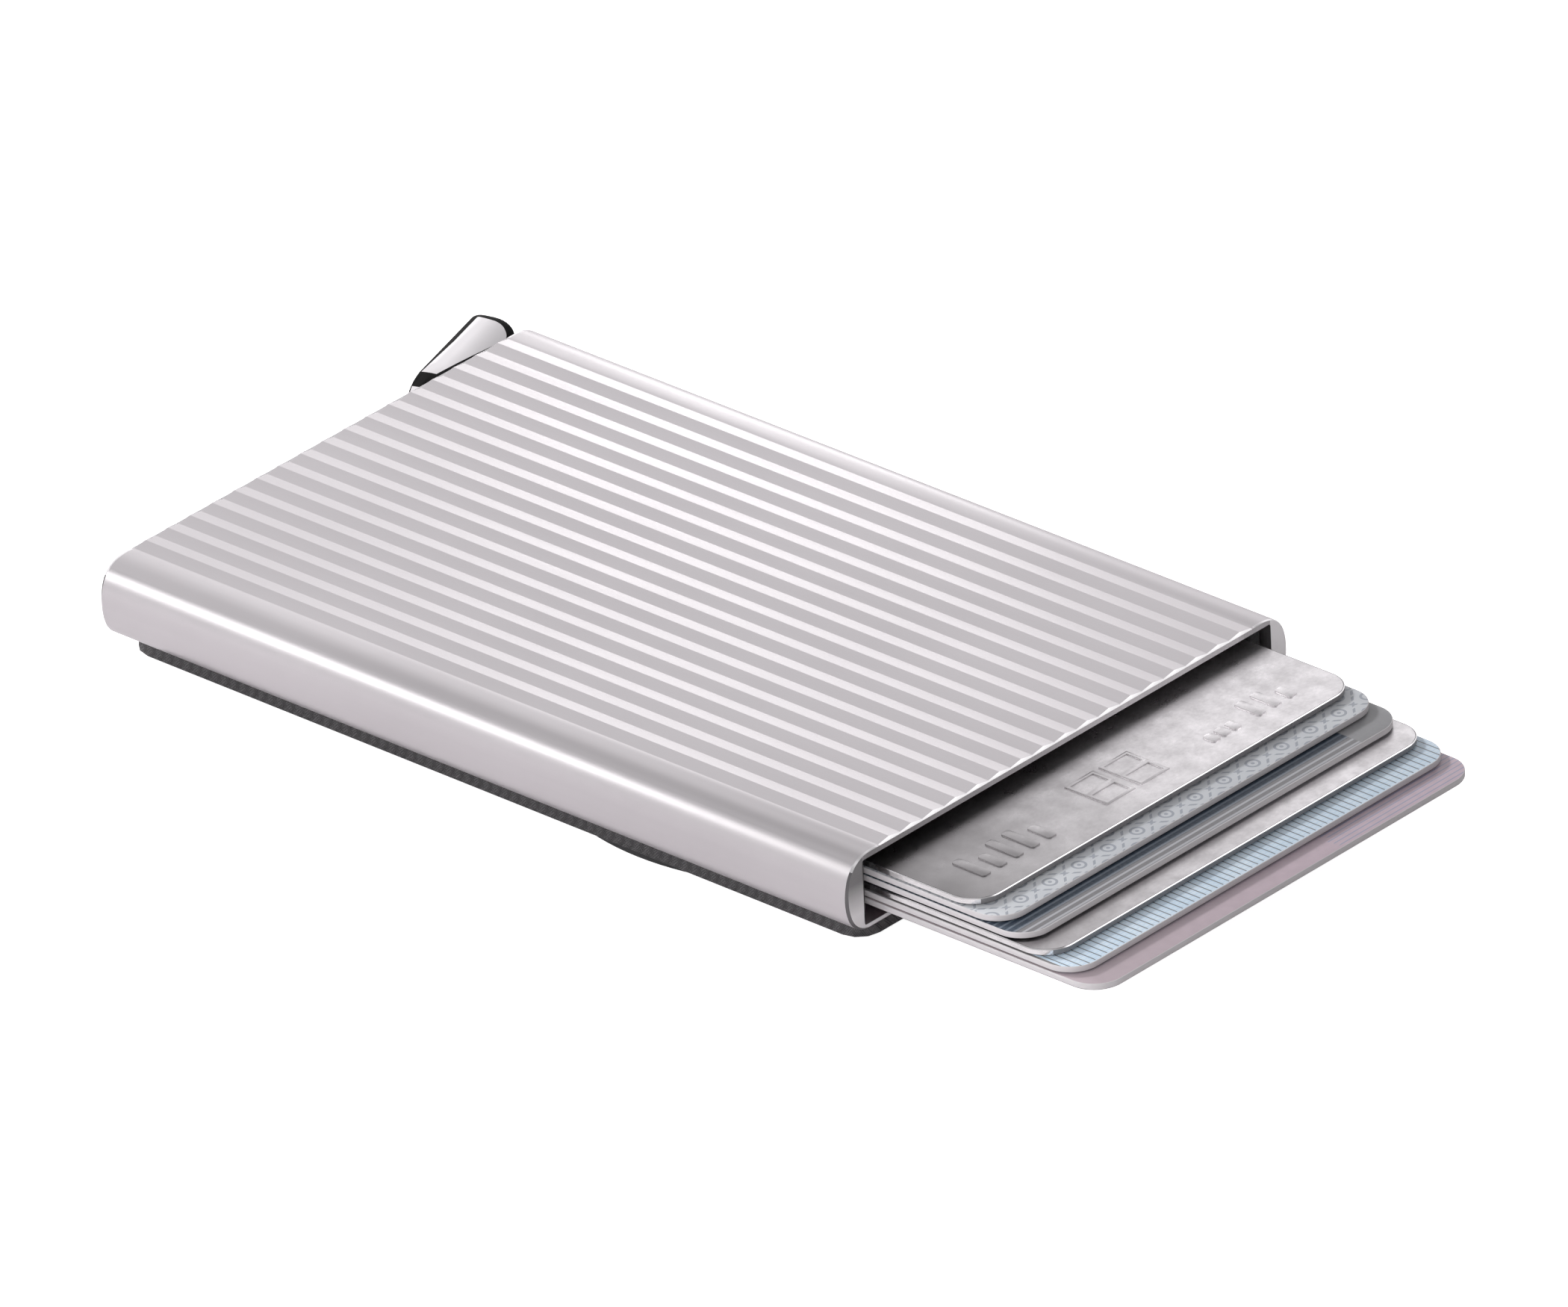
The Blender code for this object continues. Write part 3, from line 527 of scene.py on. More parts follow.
def rosePrint():
    # a soft mauve with thin blue lines on its far half
    look = roseLook
    material, tree = newMaterial("rosePrint", look["near"], 0.42, **glossCoat)
    x, y = axisValue(tree, "X"), axisValue(tree, "Y")
    uneven = noise(tree, objectPlace(tree, stretch=(1, 0, 0)), 900, 1)
    begins = maths(tree, "ADD", look["lineStart"], maths(tree, "MULTIPLY", uneven, look["lineSpread"]))
    line = maths(tree, "MULTIPLY", maths(tree, "GREATER_THAN", cell(tree, x, look["pitch"]), 0.39),
                 maths(tree, "GREATER_THAN", y, begins))
    paper = mixColor(tree, spread(tree, y, look["fadeFrom"], look["fadeTo"]), look["near"], look["far"])
    cloud = spread(tree, noise(tree, objectPlace(tree), 900, 3), 0.3, 0.7, 0.0, 0.2)
    mottled = mixColor(tree, cloud, paper, (0.33, 0.27, 0.3))
    color = mixColor(tree, maths(tree, "MULTIPLY", line, 0.55), mottled, look["ink"])
    return dress(material, color)


aluminium, cutEdge = satinAluminium(), cutAluminium()
# polished chamfer metal, also used as a painted highlight on the sleeve's upper end chamfers
chamferPolishAndHighlight = cardChamferMetal()
# a dark copy of the metal: painted shade on the sleeve's lower end chamfers
paintedShadeEdge = steelLook("paintedShadeEdge", (0.2, 0.195, 0.2), 0.35, 3000)
# a darker copy of the cut metal: painted shade on the strip above the cavity
shadeCut = steelLook("shadeCut", (0.5, 0.485, 0.495), 0.3, 3000)
chrome, black = polishedChrome(), blackAndDarkReflection()
felt, grip = darkFelt(), grippyPlastic()
blackPlastic = mouldedPlastic("blackPlastic", (0.014, 0.014, 0.015), 0.45)
padPlastic = mouldedPlastic("padPlastic", (0.036, 0.036, 0.038), 0.42, 2600)
steel = steelLook("steel", (0.56, 0.55, 0.56), 0.3)
plating = steelLook("magnetPlating", (0.3, 0.3, 0.31), 0.35, 1200)
print("materials done")


# camera, floor and light

cameraLook = dict(place=(1.911911, -2.027371, 1.529591), turn=(61.26714, 2.372478, 41.845558), lens=771.13)
camera = bpy.data.objects.new("camera", bpy.data.cameras.new("camera"))
camera.location = cameraLook["place"]
camera.rotation_euler = [math.radians(a) for a in cameraLook["turn"]]
camera.data.lens = cameraLook["lens"]
camera.data.sensor_width = 36
camera.data.clip_start, camera.data.clip_end = 0.1, 20
bpy.context.scene.collection.objects.link(camera)
bpy.context.scene.camera = camera

roomLook = dict(floorColor=(0.66, 0.638, 0.656), floorLift=0.93, glossLift=0.03, diffuse=0.38,
                farTones=[(0.0, 0.84), (0.12, 0.9), (0.26, 0.97), (0.5, 0.99), (0.66, 0.77), (0.8, 0.5),
                          (1.0, 0.42)],
                nearTones=[(0.0, 0.7), (0.06, 0.76), (0.2, 0.86), (0.34, 0.94), (0.5, 0.58), (0.62, 0.5),
                           (0.82, 0.52), (1.0, 0.8)],
                glints=[((0.5, 0.63, 0.6), 0.9, 0.97), ((0.1, 0.6, 0.79), 0.95, 0.975)],
                glintLift=0.8, glintRise=(0.4, 0.52), dim=(-0.1, 0.78, 0.62), dimming=0.38,
                mouthSide=(0.25, 0.6), mouthDimming=0.4, floorDrop=0.04 * mm)

floorMesh = bmesh.new()
bmesh.ops.create_grid(floorMesh, x_segments=1, y_segments=1, size=3.0)
mesh = bpy.data.meshes.new("floor")
floorMesh.to_mesh(mesh)
floorMesh.free()
floor = bpy.data.objects.new("floor", mesh)
floor.location.z = -roomLook["floorDrop"]
bpy.context.scene.collection.objects.link(floor)

# the floor looks white to the camera and keeps only the deepest shadow
material, tree = newMaterial("paleFloor", roomLook["floorColor"], 0.9, Specular_IOR_Level=0.0)
path = addNode(tree, "LightPath")
lift = maths(tree, "ADD", maths(tree, "MULTIPLY", path.outputs["Is Camera Ray"], roomLook["floorLift"]),
             maths(tree, "MULTIPLY", path.outputs["Is Glossy Ray"], roomLook["glossLift"]))
glow = addNode(tree, "Emission")
glow.inputs["Color"].default_value = (1, 1, 1, 1)
tree.links.new(lift, glow.inputs["Strength"])
both = addNode(tree, "AddShader")
tree.links.new(tree.nodes["Principled BSDF"].outputs[0], both.inputs[0])
tree.links.new(glow.outputs[0], both.inputs[1])
tree.links.new(both.outputs[0], tree.nodes["Material Output"].inputs["Surface"])
mesh.materials.append(material)

# a soft room for reflections, white behind the object, dimmer as plain fill light
world = bpy.data.worlds.new("studio")
world.use_nodes = True
bpy.context.scene.world = world
tree = world.node_tree
sky = addNode(tree, "TexCoord").outputs["Generated"]
split = addNode(tree, "SeparateXYZ")
tree.links.new(sky, split.inputs[0])
farShade, nearShade = (
    colorSteps(tree, split.outputs["Z"], [(at, (v, v * 0.985, v)) for at, v in roomLook[side]])
    for side in ("farTones", "nearTones"))
shade = mixColor(tree, spread(tree, split.outputs["Y"], -0.3, 0.1), nearShade, farShade)
mouthSide = spread(tree, split.outputs["X"], *roomLook["mouthSide"])
shade = mixColor(tree, maths(tree, "MULTIPLY", mouthSide, roomLook["mouthDimming"]), shade, (0, 0, 0))
raised = spread(tree, split.outputs["Z"], *roomLook["glintRise"])


def skyPatch(direction, low, high):
    facing = addNode(tree, "VectorMath", operation="DOT_PRODUCT")
    tree.links.new(sky, facing.inputs[0])
    facing.inputs[1].default_value = Vector(direction).normalized()
    return spread(tree, facing.outputs["Value"], low, high)


for direction, low, high in roomLook["glints"]:
    glint = maths(tree, "MULTIPLY", skyPatch(direction, low, high), raised)
    glint = maths(tree, "MULTIPLY", glint, roomLook["glintLift"])
    shade = mixColor(tree, 1.0, shade, glint, "ADD")
dim = maths(tree, "MULTIPLY", skyPatch(roomLook["dim"], 0.87, 0.985), roomLook["dimming"])
shade = mixColor(tree, dim, shade, (0, 0, 0))
path = addNode(tree, "LightPath")
shade = mixColor(tree, path.outputs["Is Diffuse Ray"], shade, (roomLook["diffuse"],) * 3)
light = mixColor(tree, path.outputs["Is Camera Ray"], shade, (1, 1, 1))
tree.links.new(light, tree.nodes["Background"].inputs["Color"])


def addLamp(name, place, target, size, watts, glossy=True):
    lamp = bpy.data.lights.new(name, "AREA")
    lamp.shape = "RECTANGLE"
    lamp.size, lamp.size_y = size
    lamp.energy = watts
    shown = bpy.data.objects.new(name, lamp)
    shown.location = place
    direction = Vector(target) - Vector(place)
    shown.rotation_euler = direction.to_track_quat("-Z", "Y").to_euler()
    shown.visible_glossy = glossy
    shown.visible_camera = False
    bpy.context.scene.collection.objects.link(shown)


addLamp("rearKey", (-0.5, -0.06, 0.42), (0, 0, 0), (0.1, 0.1), 3.45, glossy=False)
addLamp("nearFill", (-0.15, -0.62, 0.3), (0, 0, 0), (0.5, 0.4), 1.6, glossy=False)
addLamp("farGlow", (-0.136, 0.178, 0.057), (0, 0.02, 0.011), (0.06, 0.034), 0.0115)
addLamp("rearGlow", (-0.16, 0.13, 0.058), (-0.03, 0, 0.011), (0.09, 0.05), 0.003)
addLamp("nearStrip", (-0.2275, -0.2187, 0.173), (-0.2275, -0.0387, -0.001), (0.145, 0.115), 0.132)
addLamp("mouthFill", (0.085, -0.075, 0.03), (0.05, -0.03, 0.006), (0.03, 0.02), 0.011, glossy=False)

bpy.context.scene.view_settings.view_transform = "Standard"
print("camera, floor and light done")


# sleeve: an extruded tube with low ribs along its top

sleeve = dict(ribs=17, ribMargin=4.866 * mm, ribHeight=0.26 * mm, ribSoftness=0.05 * mm,
              cornerRadius=3.0 * mm, sideRadius=5.997 * mm, swellAt=0.815 * mm, stripRise=0.07 * mm,
              stripLean=10, endCut=0.25 * mm, endInset=0.25 * mm, brightRim=1.15 * mm,
              roof=0.54 * mm, floor=0.63 * mm, cavityHalf=28.92 * mm, cavityRadius=0.25 * mm,
              notchDepth=6.0 * mm, notchReach=1.2 * mm, notchRadius=0.5 * mm, screwHole=1.4 * mm,
              rivetHole=1.0 * mm)
sleeveLow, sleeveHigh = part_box("sleeve")
sleeveTop = sleeveHigh.z - sleeve["ribHeight"]
sleeveMid = (sleeveTop + sleeveLow.z) / 2


def sleeveOutline(x):
    half = (sleeveTop - sleeveLow.z) / 2
    sideY = sleeveHigh.y - sleeve["sideRadius"]
    rise = half - sleeve["cornerRadius"]
    shift = math.sqrt((sleeve["sideRadius"] - sleeve["cornerRadius"]) ** 2 - rise ** 2)
    turn = math.degrees(math.atan2(rise, shift))
    cornerY = sideY + shift
    valley = sleeveHigh.y - sleeve["ribMargin"]
    pitch = 2 * valley / sleeve["ribs"]
    # beside the ribs the top swells a little and runs smoothly into the corner
    swell, lean = sleeve["stripRise"], math.radians(sleeve["stripLean"])
    swellY = valley + sleeve["swellAt"]
    foot = (cornerY + sleeve["cornerRadius"] * math.sin(lean), -sleeve["cornerRadius"] * (1 - math.cos(lean)))
    strip = [(valley + (swellY - valley) * t, swell * (1 - (1 - t) ** 2)) for t in (0.25, 0.5, 0.75, 1.0)]
    strip += [(swellY + (foot[0] - swellY) * t, swell - (swell - foot[1]) * t ** 2)
              for t in (0.2, 0.4, 0.6, 0.8, 1.0)]
    bm, first = startLine((x, -valley, sleeveTop))
    last = first
    for k in range(sleeve["ribs"]):
        last = lineTo(bm, last, (x, -valley + (k + 0.5) * pitch, sleeveHigh.z))
        last = lineTo(bm, last, (x, -valley + (k + 1) * pitch, sleeveTop))
    for y, z in strip:
        last = lineTo(bm, last, (x, y, sleeveTop + z))
    for side in (1, -1):
        # down the far side, then up the near side
        starts, ends = (sleeve["stripLean"], 0) if side == 1 else (0, sleeve["stripLean"])
        upper = (x, side * cornerY, sleeveMid + side * rise)
        lower = (x, side * cornerY, sleeveMid - side * rise)
        last = arcTo(bm, last, upper, turn - 90 + starts, 10, (1, 0, 0))
        last = arcTo(bm, last, (x, side * sideY, sleeveMid), -2 * turn, 8, (1, 0, 0))
        last = arcTo(bm, last, lower, turn - 90 + ends, 10, (1, 0, 0))
        if side == 1:
            last = lineTo(bm, last, (x, -cornerY, sleeveLow.z))
    for y, z in reversed(strip[:-1]):
        last = lineTo(bm, last, (x, -y, sleeveTop + z))
    bm.edges.new((last, first))
    return bm, cornerY


def trimEnd(verts, cornerY):
    # the end is cut flat across the ribs and a little inwards round the sides
    for v in verts:
        if abs(v.co.y) <= cornerY + 0.001 * mm and v.co.z > sleeveMid:
            v.co.z = sleeveTop
            continue
        outward = Vector((0, 0, -1))
        if abs(v.co.y) > cornerY:
            beside = v.co.y - math.copysign(cornerY - 2 * mm, v.co.y)
            outward = Vector((0, beside, v.co.z - sleeveMid)).normalized()
        v.co -= outward * sleeve["endInset"] * (1 - max(0.0, outward.z))


def buildSleeve():
    cut = sleeve["endCut"]
    length = sleeveHigh.x - sleeveLow.x
    bm, cornerY = sleeveOutline(sleeveLow.x + cut)
    ring = bm.edges[:]
    front = pullEdges(bm, ring, (length - 2 * cut, 0, 0))
    for edges, way in ((front, cut), (ring, -cut)):
        end = pullEdges(bm, edges, (way, 0, 0))
        trimEnd({v for e in end for v in e.verts}, cornerY)
    side, radius = sleeve["cavityHalf"], sleeve["cavityRadius"]
    low, high = sleeveLow.z + sleeve["floor"], sleeveTop - sleeve["roof"]
    first = last = bm.verts.new((sleeveLow.x, side - radius, high))
    for y, z, nextPoint in ((side, high, (side, low + radius)), (side, low, (radius - side, low)),
                            (-side, low, (-side, high - radius)), (-side, high, None)):
        center = (sleeveLow.x, y - math.copysign(radius, y), z - radius if z == high else z + radius)
        last = arcTo(bm, last, center, -90, 4, (1, 0, 0))
        if nextPoint:
            last = lineTo(bm, last, (sleeveLow.x, *nextPoint))
    bm.edges.new((last, first))
    inner = [e for e in bm.edges if not e.link_faces]
    pullEdges(bm, inner, (length, 0, 0))
    for x in (sleeveLow.x, sleeveHigh.x):
        rim = [e for e in bm.edges if e.is_boundary and all(abs(v.co.x - x) < 0.001 * mm for v in e.verts)]
        bmesh.ops.triangle_fill(bm, edges=rim, use_beauty=True, use_dissolve=False)
    tidyMesh(bm)
    ridges = [e for e in bm.edges if abs(e.verts[0].co.x - e.verts[1].co.x) > length / 2
              and e.verts[0].co.z > sleeveTop - 0.01 * mm and len(e.link_faces) == 2
              and e.calc_face_angle(0.0) > math.radians(5)]
    roundEdges(bm, ridges, sleeve["ribSoftness"], 3)
    notch = blockFrom((sleeveLow.x - 2 * mm, side - sleeve["notchReach"], low),
                      (sleeveLow.x + sleeve["notchDepth"], sleeveHigh.y + 2 * mm, high))
    corners = [e for e in notch.edges if all(v.co.x > sleeveLow.x for v in e.verts)
               and abs(e.verts[0].co.y - e.verts[1].co.y) > mm]
    roundEdges(notch, corners, sleeve["notchRadius"], 4)
    cutters = [notch]
    holes = [(f"cap_screw_{k}", sleeve["screwHole"]) for k in (1, 2)]
    holes += [(f"rail_rivet_{k}", sleeve["rivetHole"]) for k in (1, 2, 3, 4)]
    for node, radius in holes:
        boxLow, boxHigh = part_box(node)
        hole = bmesh.new()
        middle = (boxLow + boxHigh) / 2
        middle.z = sleeveLow.z
        bmesh.ops.create_cone(hole, cap_ends=True, segments=32, radius1=radius, radius2=radius,
                              depth=3 * mm, matrix=Matrix.Translation(middle))
        cutters.append(hole)
    bm = carve(bm, cutters)
    # the strip above the cavity on each end face takes the darker copy of the metal as painted shade
    for face in bm.faces:
        middle = face.calc_center_median()
        if abs(face.normal.x) > 0.99:
            face.material_index = 4 if middle.z > high and abs(middle.y) < side else 1
        # end chamfers: the bright polished copy above brightRim is a painted highlight, the dark copy below
        # is painted shade
        elif abs(middle.x) > sleeveHigh.x - cut and abs(face.normal.x) > 0.1:
            face.material_index = 3 if middle.z > sleeveTop - sleeve["brightRim"] else 2
    addPiece("sleeveBody", bm, "holder", [aluminium, cutEdge, paintedShadeEdge, chamferPolishAndHighlight, shadeCut], ["sleeve"],
             sharpFrom=18)


buildSleeve()
print("sleeve done")


# cards

cardSizes = dict(radius=3.18 * mm, plasticEdge=0.07 * mm, metalEdge=0.09 * mm, metalLine=0.05 * mm,
                 gap=0.11 * mm)
plasticSide, metalSide = cardEdgePlastic(), cardEdgeMetal()
# a darker copy of the edge metal for the metal cards' front faces: painted shade
paintedShadeFront = steelLook("cardFrontPaintedShade", (0.34, 0.33, 0.335), 0.36, 2600)
cardLooks = {
    1: (cardMetal("cardMetalPale", (0.225, 0.218, 0.221), (0.97, 0.945, 0.96), 0.3), "card_metal"),
    2: (latticePrint(), "card_light_grey"),
    3: (stripePrint(), "card_grey"),
    4: (cardMetal("cardMetalDark", (0.49, 0.474, 0.482), (0.97, 0.945, 0.96), 0.33), "card_dark_metal"),
    5: (ruledPrint(), "card_blue"),
    6: (rosePrint(), "card_rose"),
}
metalCards = (1, 4)


def buildCard(number):
    face, slot = cardLooks[number]
    node = f"card_{number}"
    low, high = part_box(node)
    bm = blockFrom(low + Vector((0, 0, cardSizes["gap"])), high)
    roundEdges(bm, uprightEdges(bm), cardSizes["radius"], 14)
    rims = [e for e in sharpEdges(bm, 60) if e not in uprightEdges(bm)]
    metal = number in metalCards
    made = roundEdges(bm, rims, cardSizes["metalEdge" if metal else "plasticEdge"], 1 if metal else 2)
    for f in bm.faces:
        f.material_index = 0 if abs(f.normal.z) > 0.99 else 1
    # bevels facing down are black on every card as painted contact shadow; the metal cards' upper bevels take
    # the polished chamfer metal
    for f in made:
        if metal or f.normal.z < -0.3:
            f.material_index = 2 if f.normal.z > 0 else 3
    # front faces of the metal cards take the darker copy of the edge metal: painted shade
    for f in bm.faces:
        if metal and f.normal.x > 0.8 and f.material_index == 1:
            f.material_index = 4
    sides = [metalSide if metal else plasticSide, chamferPolishAndHighlight, blackPlastic, paintedShadeFront]
    # a thin black line round the metal cards' tops: painted shade at the chamfer's edge
    if metal:
        top = [f for f in bm.faces if abs(f.normal.z) > 0.99]
        line = bmesh.ops.inset_region(bm, faces=top, thickness=cardSizes["metalLine"], use_even_offset=True)
        for f in line["faces"]:
            f.material_index = 3
    addPiece(f"cardSheet{number}", bm, node, [face] + sides, [node])


for number in cardLooks:
    buildCard(number)

# plain raised bars and a frame, pressed into the first card
relief = dict(height=0.13 * mm, foot=0.03 * mm, edge=0.05 * mm, corner=0.4 * mm, line=0.5 * mm,
              bars=[(-22.0, 4.2), (-19.7, 3.0), (-17.4, 4.2), (-15.1, 4.2), (-12.8, 3.0), (10.5, 1.6),
                    (12.0, 1.6), (13.5, 1.6), (17.0, 3.4), (19.2, 3.4), (21.4, 2.2)],
              barWidth=1.2 * mm, barFront=3.1 * mm,
              frames=[(-5.2, -1.2), (-0.4, 3.6)], frameDepth=5.4 * mm)


def joinMesh(bm, other):
    mesh = bpy.data.meshes.new("joined")
    other.to_mesh(mesh)
    other.free()
    bm.from_mesh(mesh)
    bpy.data.meshes.remove(mesh)


def addBar(bm, low, high):
    bar = blockFrom(low, high)
    corner = min(relief["corner"], (high[1] - low[1]) * 0.4, (high[0] - low[0]) * 0.4)
    roundEdges(bar, uprightEdges(bar), corner, 5)
    upper = [e for e in sharpEdges(bar, 60) if all(v.co.z > high[2] - 0.001 * mm for v in e.verts)]
    roundEdges(bar, upper, relief["edge"], 2)
    joinMesh(bm, bar)


def buildRelief():
    bm = bmesh.new()
    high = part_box("card_1")[1]
    base, top = high.z - relief["foot"], high.z + relief["height"]
    front = high.x - relief["barFront"]
    for y, length in relief["bars"]:
        addBar(bm, (front - length * mm, y * mm - relief["barWidth"] / 2, base),
               (front, y * mm + relief["barWidth"] / 2, top))
    depth = relief["frameDepth"]
    for start, end in relief["frames"]:
        frameMesh = bmesh.new()
        place = Matrix.Translation((front - depth / 2, (start + end) * mm / 2, base))
        bmesh.ops.create_grid(frameMesh, x_segments=2, y_segments=1, size=0.5,
                              matrix=place @ Matrix.Diagonal((depth, (end - start) * mm, 1, 1)))
        inner = frameMesh.faces[:]
        bmesh.ops.inset_individual(frameMesh, faces=inner, thickness=relief["line"] * 0.8,
                                   use_even_offset=True)
        bmesh.ops.delete(frameMesh, geom=inner, context="FACES")
        pullFace(frameMesh, frameMesh.faces[:], (0, 0, top - base))
        tidyMesh(frameMesh)
        upper = [e for e in sharpEdges(frameMesh, 60) if all(v.co.z > top - 0.001 * mm for v in e.verts)]
        roundEdges(frameMesh, upper, relief["edge"], 2)
        joinMesh(bm, frameMesh)
    addPiece("cardRelief", bm, "card_1", [cardLooks[1][0]])


buildRelief()
print("cards done")


# lever: a polished top on a black body, hinged inside the end cap; the black sides and rim are painted dark
# reflections of the chrome

lever = dict(angle=17.0, pivot=(-44.0 * mm, 7.0 * mm), outer=-3.5 * mm, width=5.3 * mm, reach=24.7 * mm,
             root=3.4 * mm, heelRadius=10.5 * mm, heelStart=12.0 * mm, heelEnd=5.0 * mm,
             tipRadius=0.8 * mm, noseRadius=3.0 * mm, edge=0.14 * mm, crown=11 * mm,
             rimFrom=0.03 * mm, rimTo=0.75 * mm, rimStart=19 * mm, rimEnd=23 * mm, rimLeast=0.45,
             crownAt=0.25, gapLine=1.65 * mm,
             bandStart=9.7 * mm, bandEnd=12.2 * mm, step=0.3 * mm)


def buildLever():
    low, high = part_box("lever_wedge")
    outer, inner = lever["outer"], lever["outer"] + lever["width"]
    radius = lever["heelRadius"]
    fall = math.degrees(math.asin((lever["heelStart"] - lever["heelEnd"]) / radius))
    heelX = outer + radius - radius * math.cos(math.radians(fall))
    bm, first = startLine((heelX, lever["root"], low.z))
    last = lineTo(bm, first, (heelX, lever["heelEnd"], low.z))
    last = arcTo(bm, last, (outer + radius, lever["heelStart"], low.z), -fall, 10)
    last = lineTo(bm, last, (outer, lever["reach"] - lever["tipRadius"], low.z))
    tipCenter = (outer + lever["tipRadius"], lever["reach"] - lever["tipRadius"], low.z)
    last = arcTo(bm, last, tipCenter, -90, 6)
    last = lineTo(bm, last, (inner - lever["noseRadius"], lever["reach"], low.z))
    noseCenter = (inner - lever["noseRadius"], lever["reach"] - lever["noseRadius"], low.z)
    last = arcTo(bm, last, noseCenter, -90, 14)
    last = lineTo(bm, last, (inner, lever["root"], low.z))
    bm.edges.new((last, first))
    face = bmesh.ops.contextual_create(bm, geom=bm.edges[:])["faces"]
    pullFace(bm, face, (0, 0, high.z - low.z))
    tidyMesh(bm)
    rims = [e for e in sharpEdges(bm, 60) if abs(e.verts[0].co.z - e.verts[1].co.z) < 0.01 * mm]
    # sides and rounded rims are black: painted dark reflections of the chrome
    for f in bm.faces:
        f.material_index = 0 if abs(f.normal.z) > 0.9 else 1
    for f in roundEdges(bm, rims, lever["edge"], 4):
        f.material_index = 1
    # a black rim on the top that widens towards the nose, a painted dark reflection
    top = [f for f in bm.faces if f.normal.z > 0.99 and f.calc_area() > 50 * mm * mm]
    before = {v: v.co.copy() for v in top[0].verts}
    ring = bmesh.ops.inset_region(bm, faces=top, thickness=lever["rimTo"], use_even_offset=True)["faces"]
    for f in ring:
        f.material_index = 1
    for v in top[0].verts:
        old = [e.other_vert(v) for e in v.link_edges if e.other_vert(v) in before]
        if old:
            wide = spreadNumber(v.co.y, lever["rimStart"], lever["rimEnd"])
            wide *= spreadNumber(v.co.x, outer, inner - mm, lever["rimLeast"], 1.0)
            share = (lever["rimFrom"] + (lever["rimTo"] - lever["rimFrom"]) * wide) / lever["rimTo"]
            v.co = before[old[0]].lerp(v.co, share)
    # cuts for the crowned top and the dark band
    cuts = [("x", outer + lever["width"] * k / 8) for k in range(1, 8)]
    cuts += [("y", lever["bandStart"]), ("y", lever["bandEnd"])]
    cuts += [("y", lever["bandEnd"] + (lever["reach"] - lever["bandEnd"]) * k / 6) for k in range(1, 6)]
    for axis, at in cuts:
        flat = axis == "x"
        bmesh.ops.bisect_plane(bm, geom=bm.verts[:] + bm.edges[:] + bm.faces[:],
                               plane_co=(at, 0, 0) if flat else (0, at, 0),
                               plane_no=(1, 0, 0) if flat else (0, 1, 0), dist=0.001 * mm)
    middle = outer + lever["crownAt"] * lever["width"]
    for v in bm.verts:
        if v.co.z > (low.z + high.z) / 2:
            v.co.z -= (v.co.x - middle) ** 2 / (2 * lever["crown"])
            slope = (lever["bandEnd"] - v.co.y) / (lever["bandEnd"] - lever["bandStart"])
            v.co.z -= lever["step"] * min(1.0, max(0.0, slope))
    for f in bm.faces:
        if f.normal.z > 0.7 and lever["bandStart"] < f.calc_center_median().y < lever["bandEnd"]:
            f.material_index = 1
    place = Matrix.Translation((*lever["pivot"], 0)) @ Matrix.Rotation(math.radians(lever["angle"]), 4, "Z")
    bmesh.ops.transform(bm, matrix=place, verts=bm.verts[:])
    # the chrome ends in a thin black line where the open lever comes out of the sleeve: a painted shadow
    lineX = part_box("sleeve")[0].x - lever["gapLine"]
    bmesh.ops.bisect_plane(bm, geom=bm.verts[:] + bm.edges[:] + bm.faces[:], plane_co=(lineX, 0, 0),
                           plane_no=(1, 0, 0), dist=0.001 * mm)
    back = place.inverted()
    for f in bm.faces:
        middle = f.calc_center_median()
        if f.normal.z > 0.7 and middle.x > lineX and (back @ middle).y > lever["bandStart"]:
            f.material_index = 1
    bmesh.ops.recalc_face_normals(bm, faces=bm.faces[:])
    addPiece("leverFinger", bm, "lever", [chrome, black], ["lever_wedge"])


buildLever()
print("lever done")


# slide plate: a textured plate with a pocket for its grip panel, and the channel for the rail

plate = dict(cornerRadius=2.6 * mm, cellSize=1.1 * mm, rimDepth=0.09 * mm, edge=0.05 * mm,
             rimSplit=0.62, pocketMargin=1.1 * mm, pocketDepth=0.32 * mm, panelGap=0.05 * mm)
channel = dict(gap=0.15 * mm, endGap=0.3 * mm, flangeHalf=12.0 * mm, flangeHeight=0.4 * mm,
               neckHalf=9.0 * mm, over=2 * mm)


def roundedPlate(low, high, radius, cornerSteps):
    bm = blockFrom(low, high)
    roundEdges(bm, uprightEdges(bm), radius, cornerSteps)
    return bm


def channelCutter():
    railLow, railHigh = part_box("rail_plate")
    plateLow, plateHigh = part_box("slide_plate")
    gap, over = channel["gap"], channel["over"]
    start, end = plateLow.x - over, railHigh.x + channel["endGap"]
    flange, neck = channel["flangeHalf"] + gap, channel["neckHalf"] + gap
    shoulder = railLow.z + channel["flangeHeight"] + gap
    bm, first = startLine((start, -flange, railLow.z - gap))
    last = first
    for y, z in ((flange, railLow.z - gap), (flange, shoulder), (neck, shoulder), (neck, plateHigh.z + over),
                 (-neck, plateHigh.z + over), (-neck, shoulder), (-flange, shoulder)):
        last = lineTo(bm, last, (start, y, z))
    bm.edges.new((last, first))
    face = bmesh.ops.contextual_create(bm, geom=bm.edges[:])["faces"]
    pullFace(bm, face, (end - start, 0, 0))
    return bm


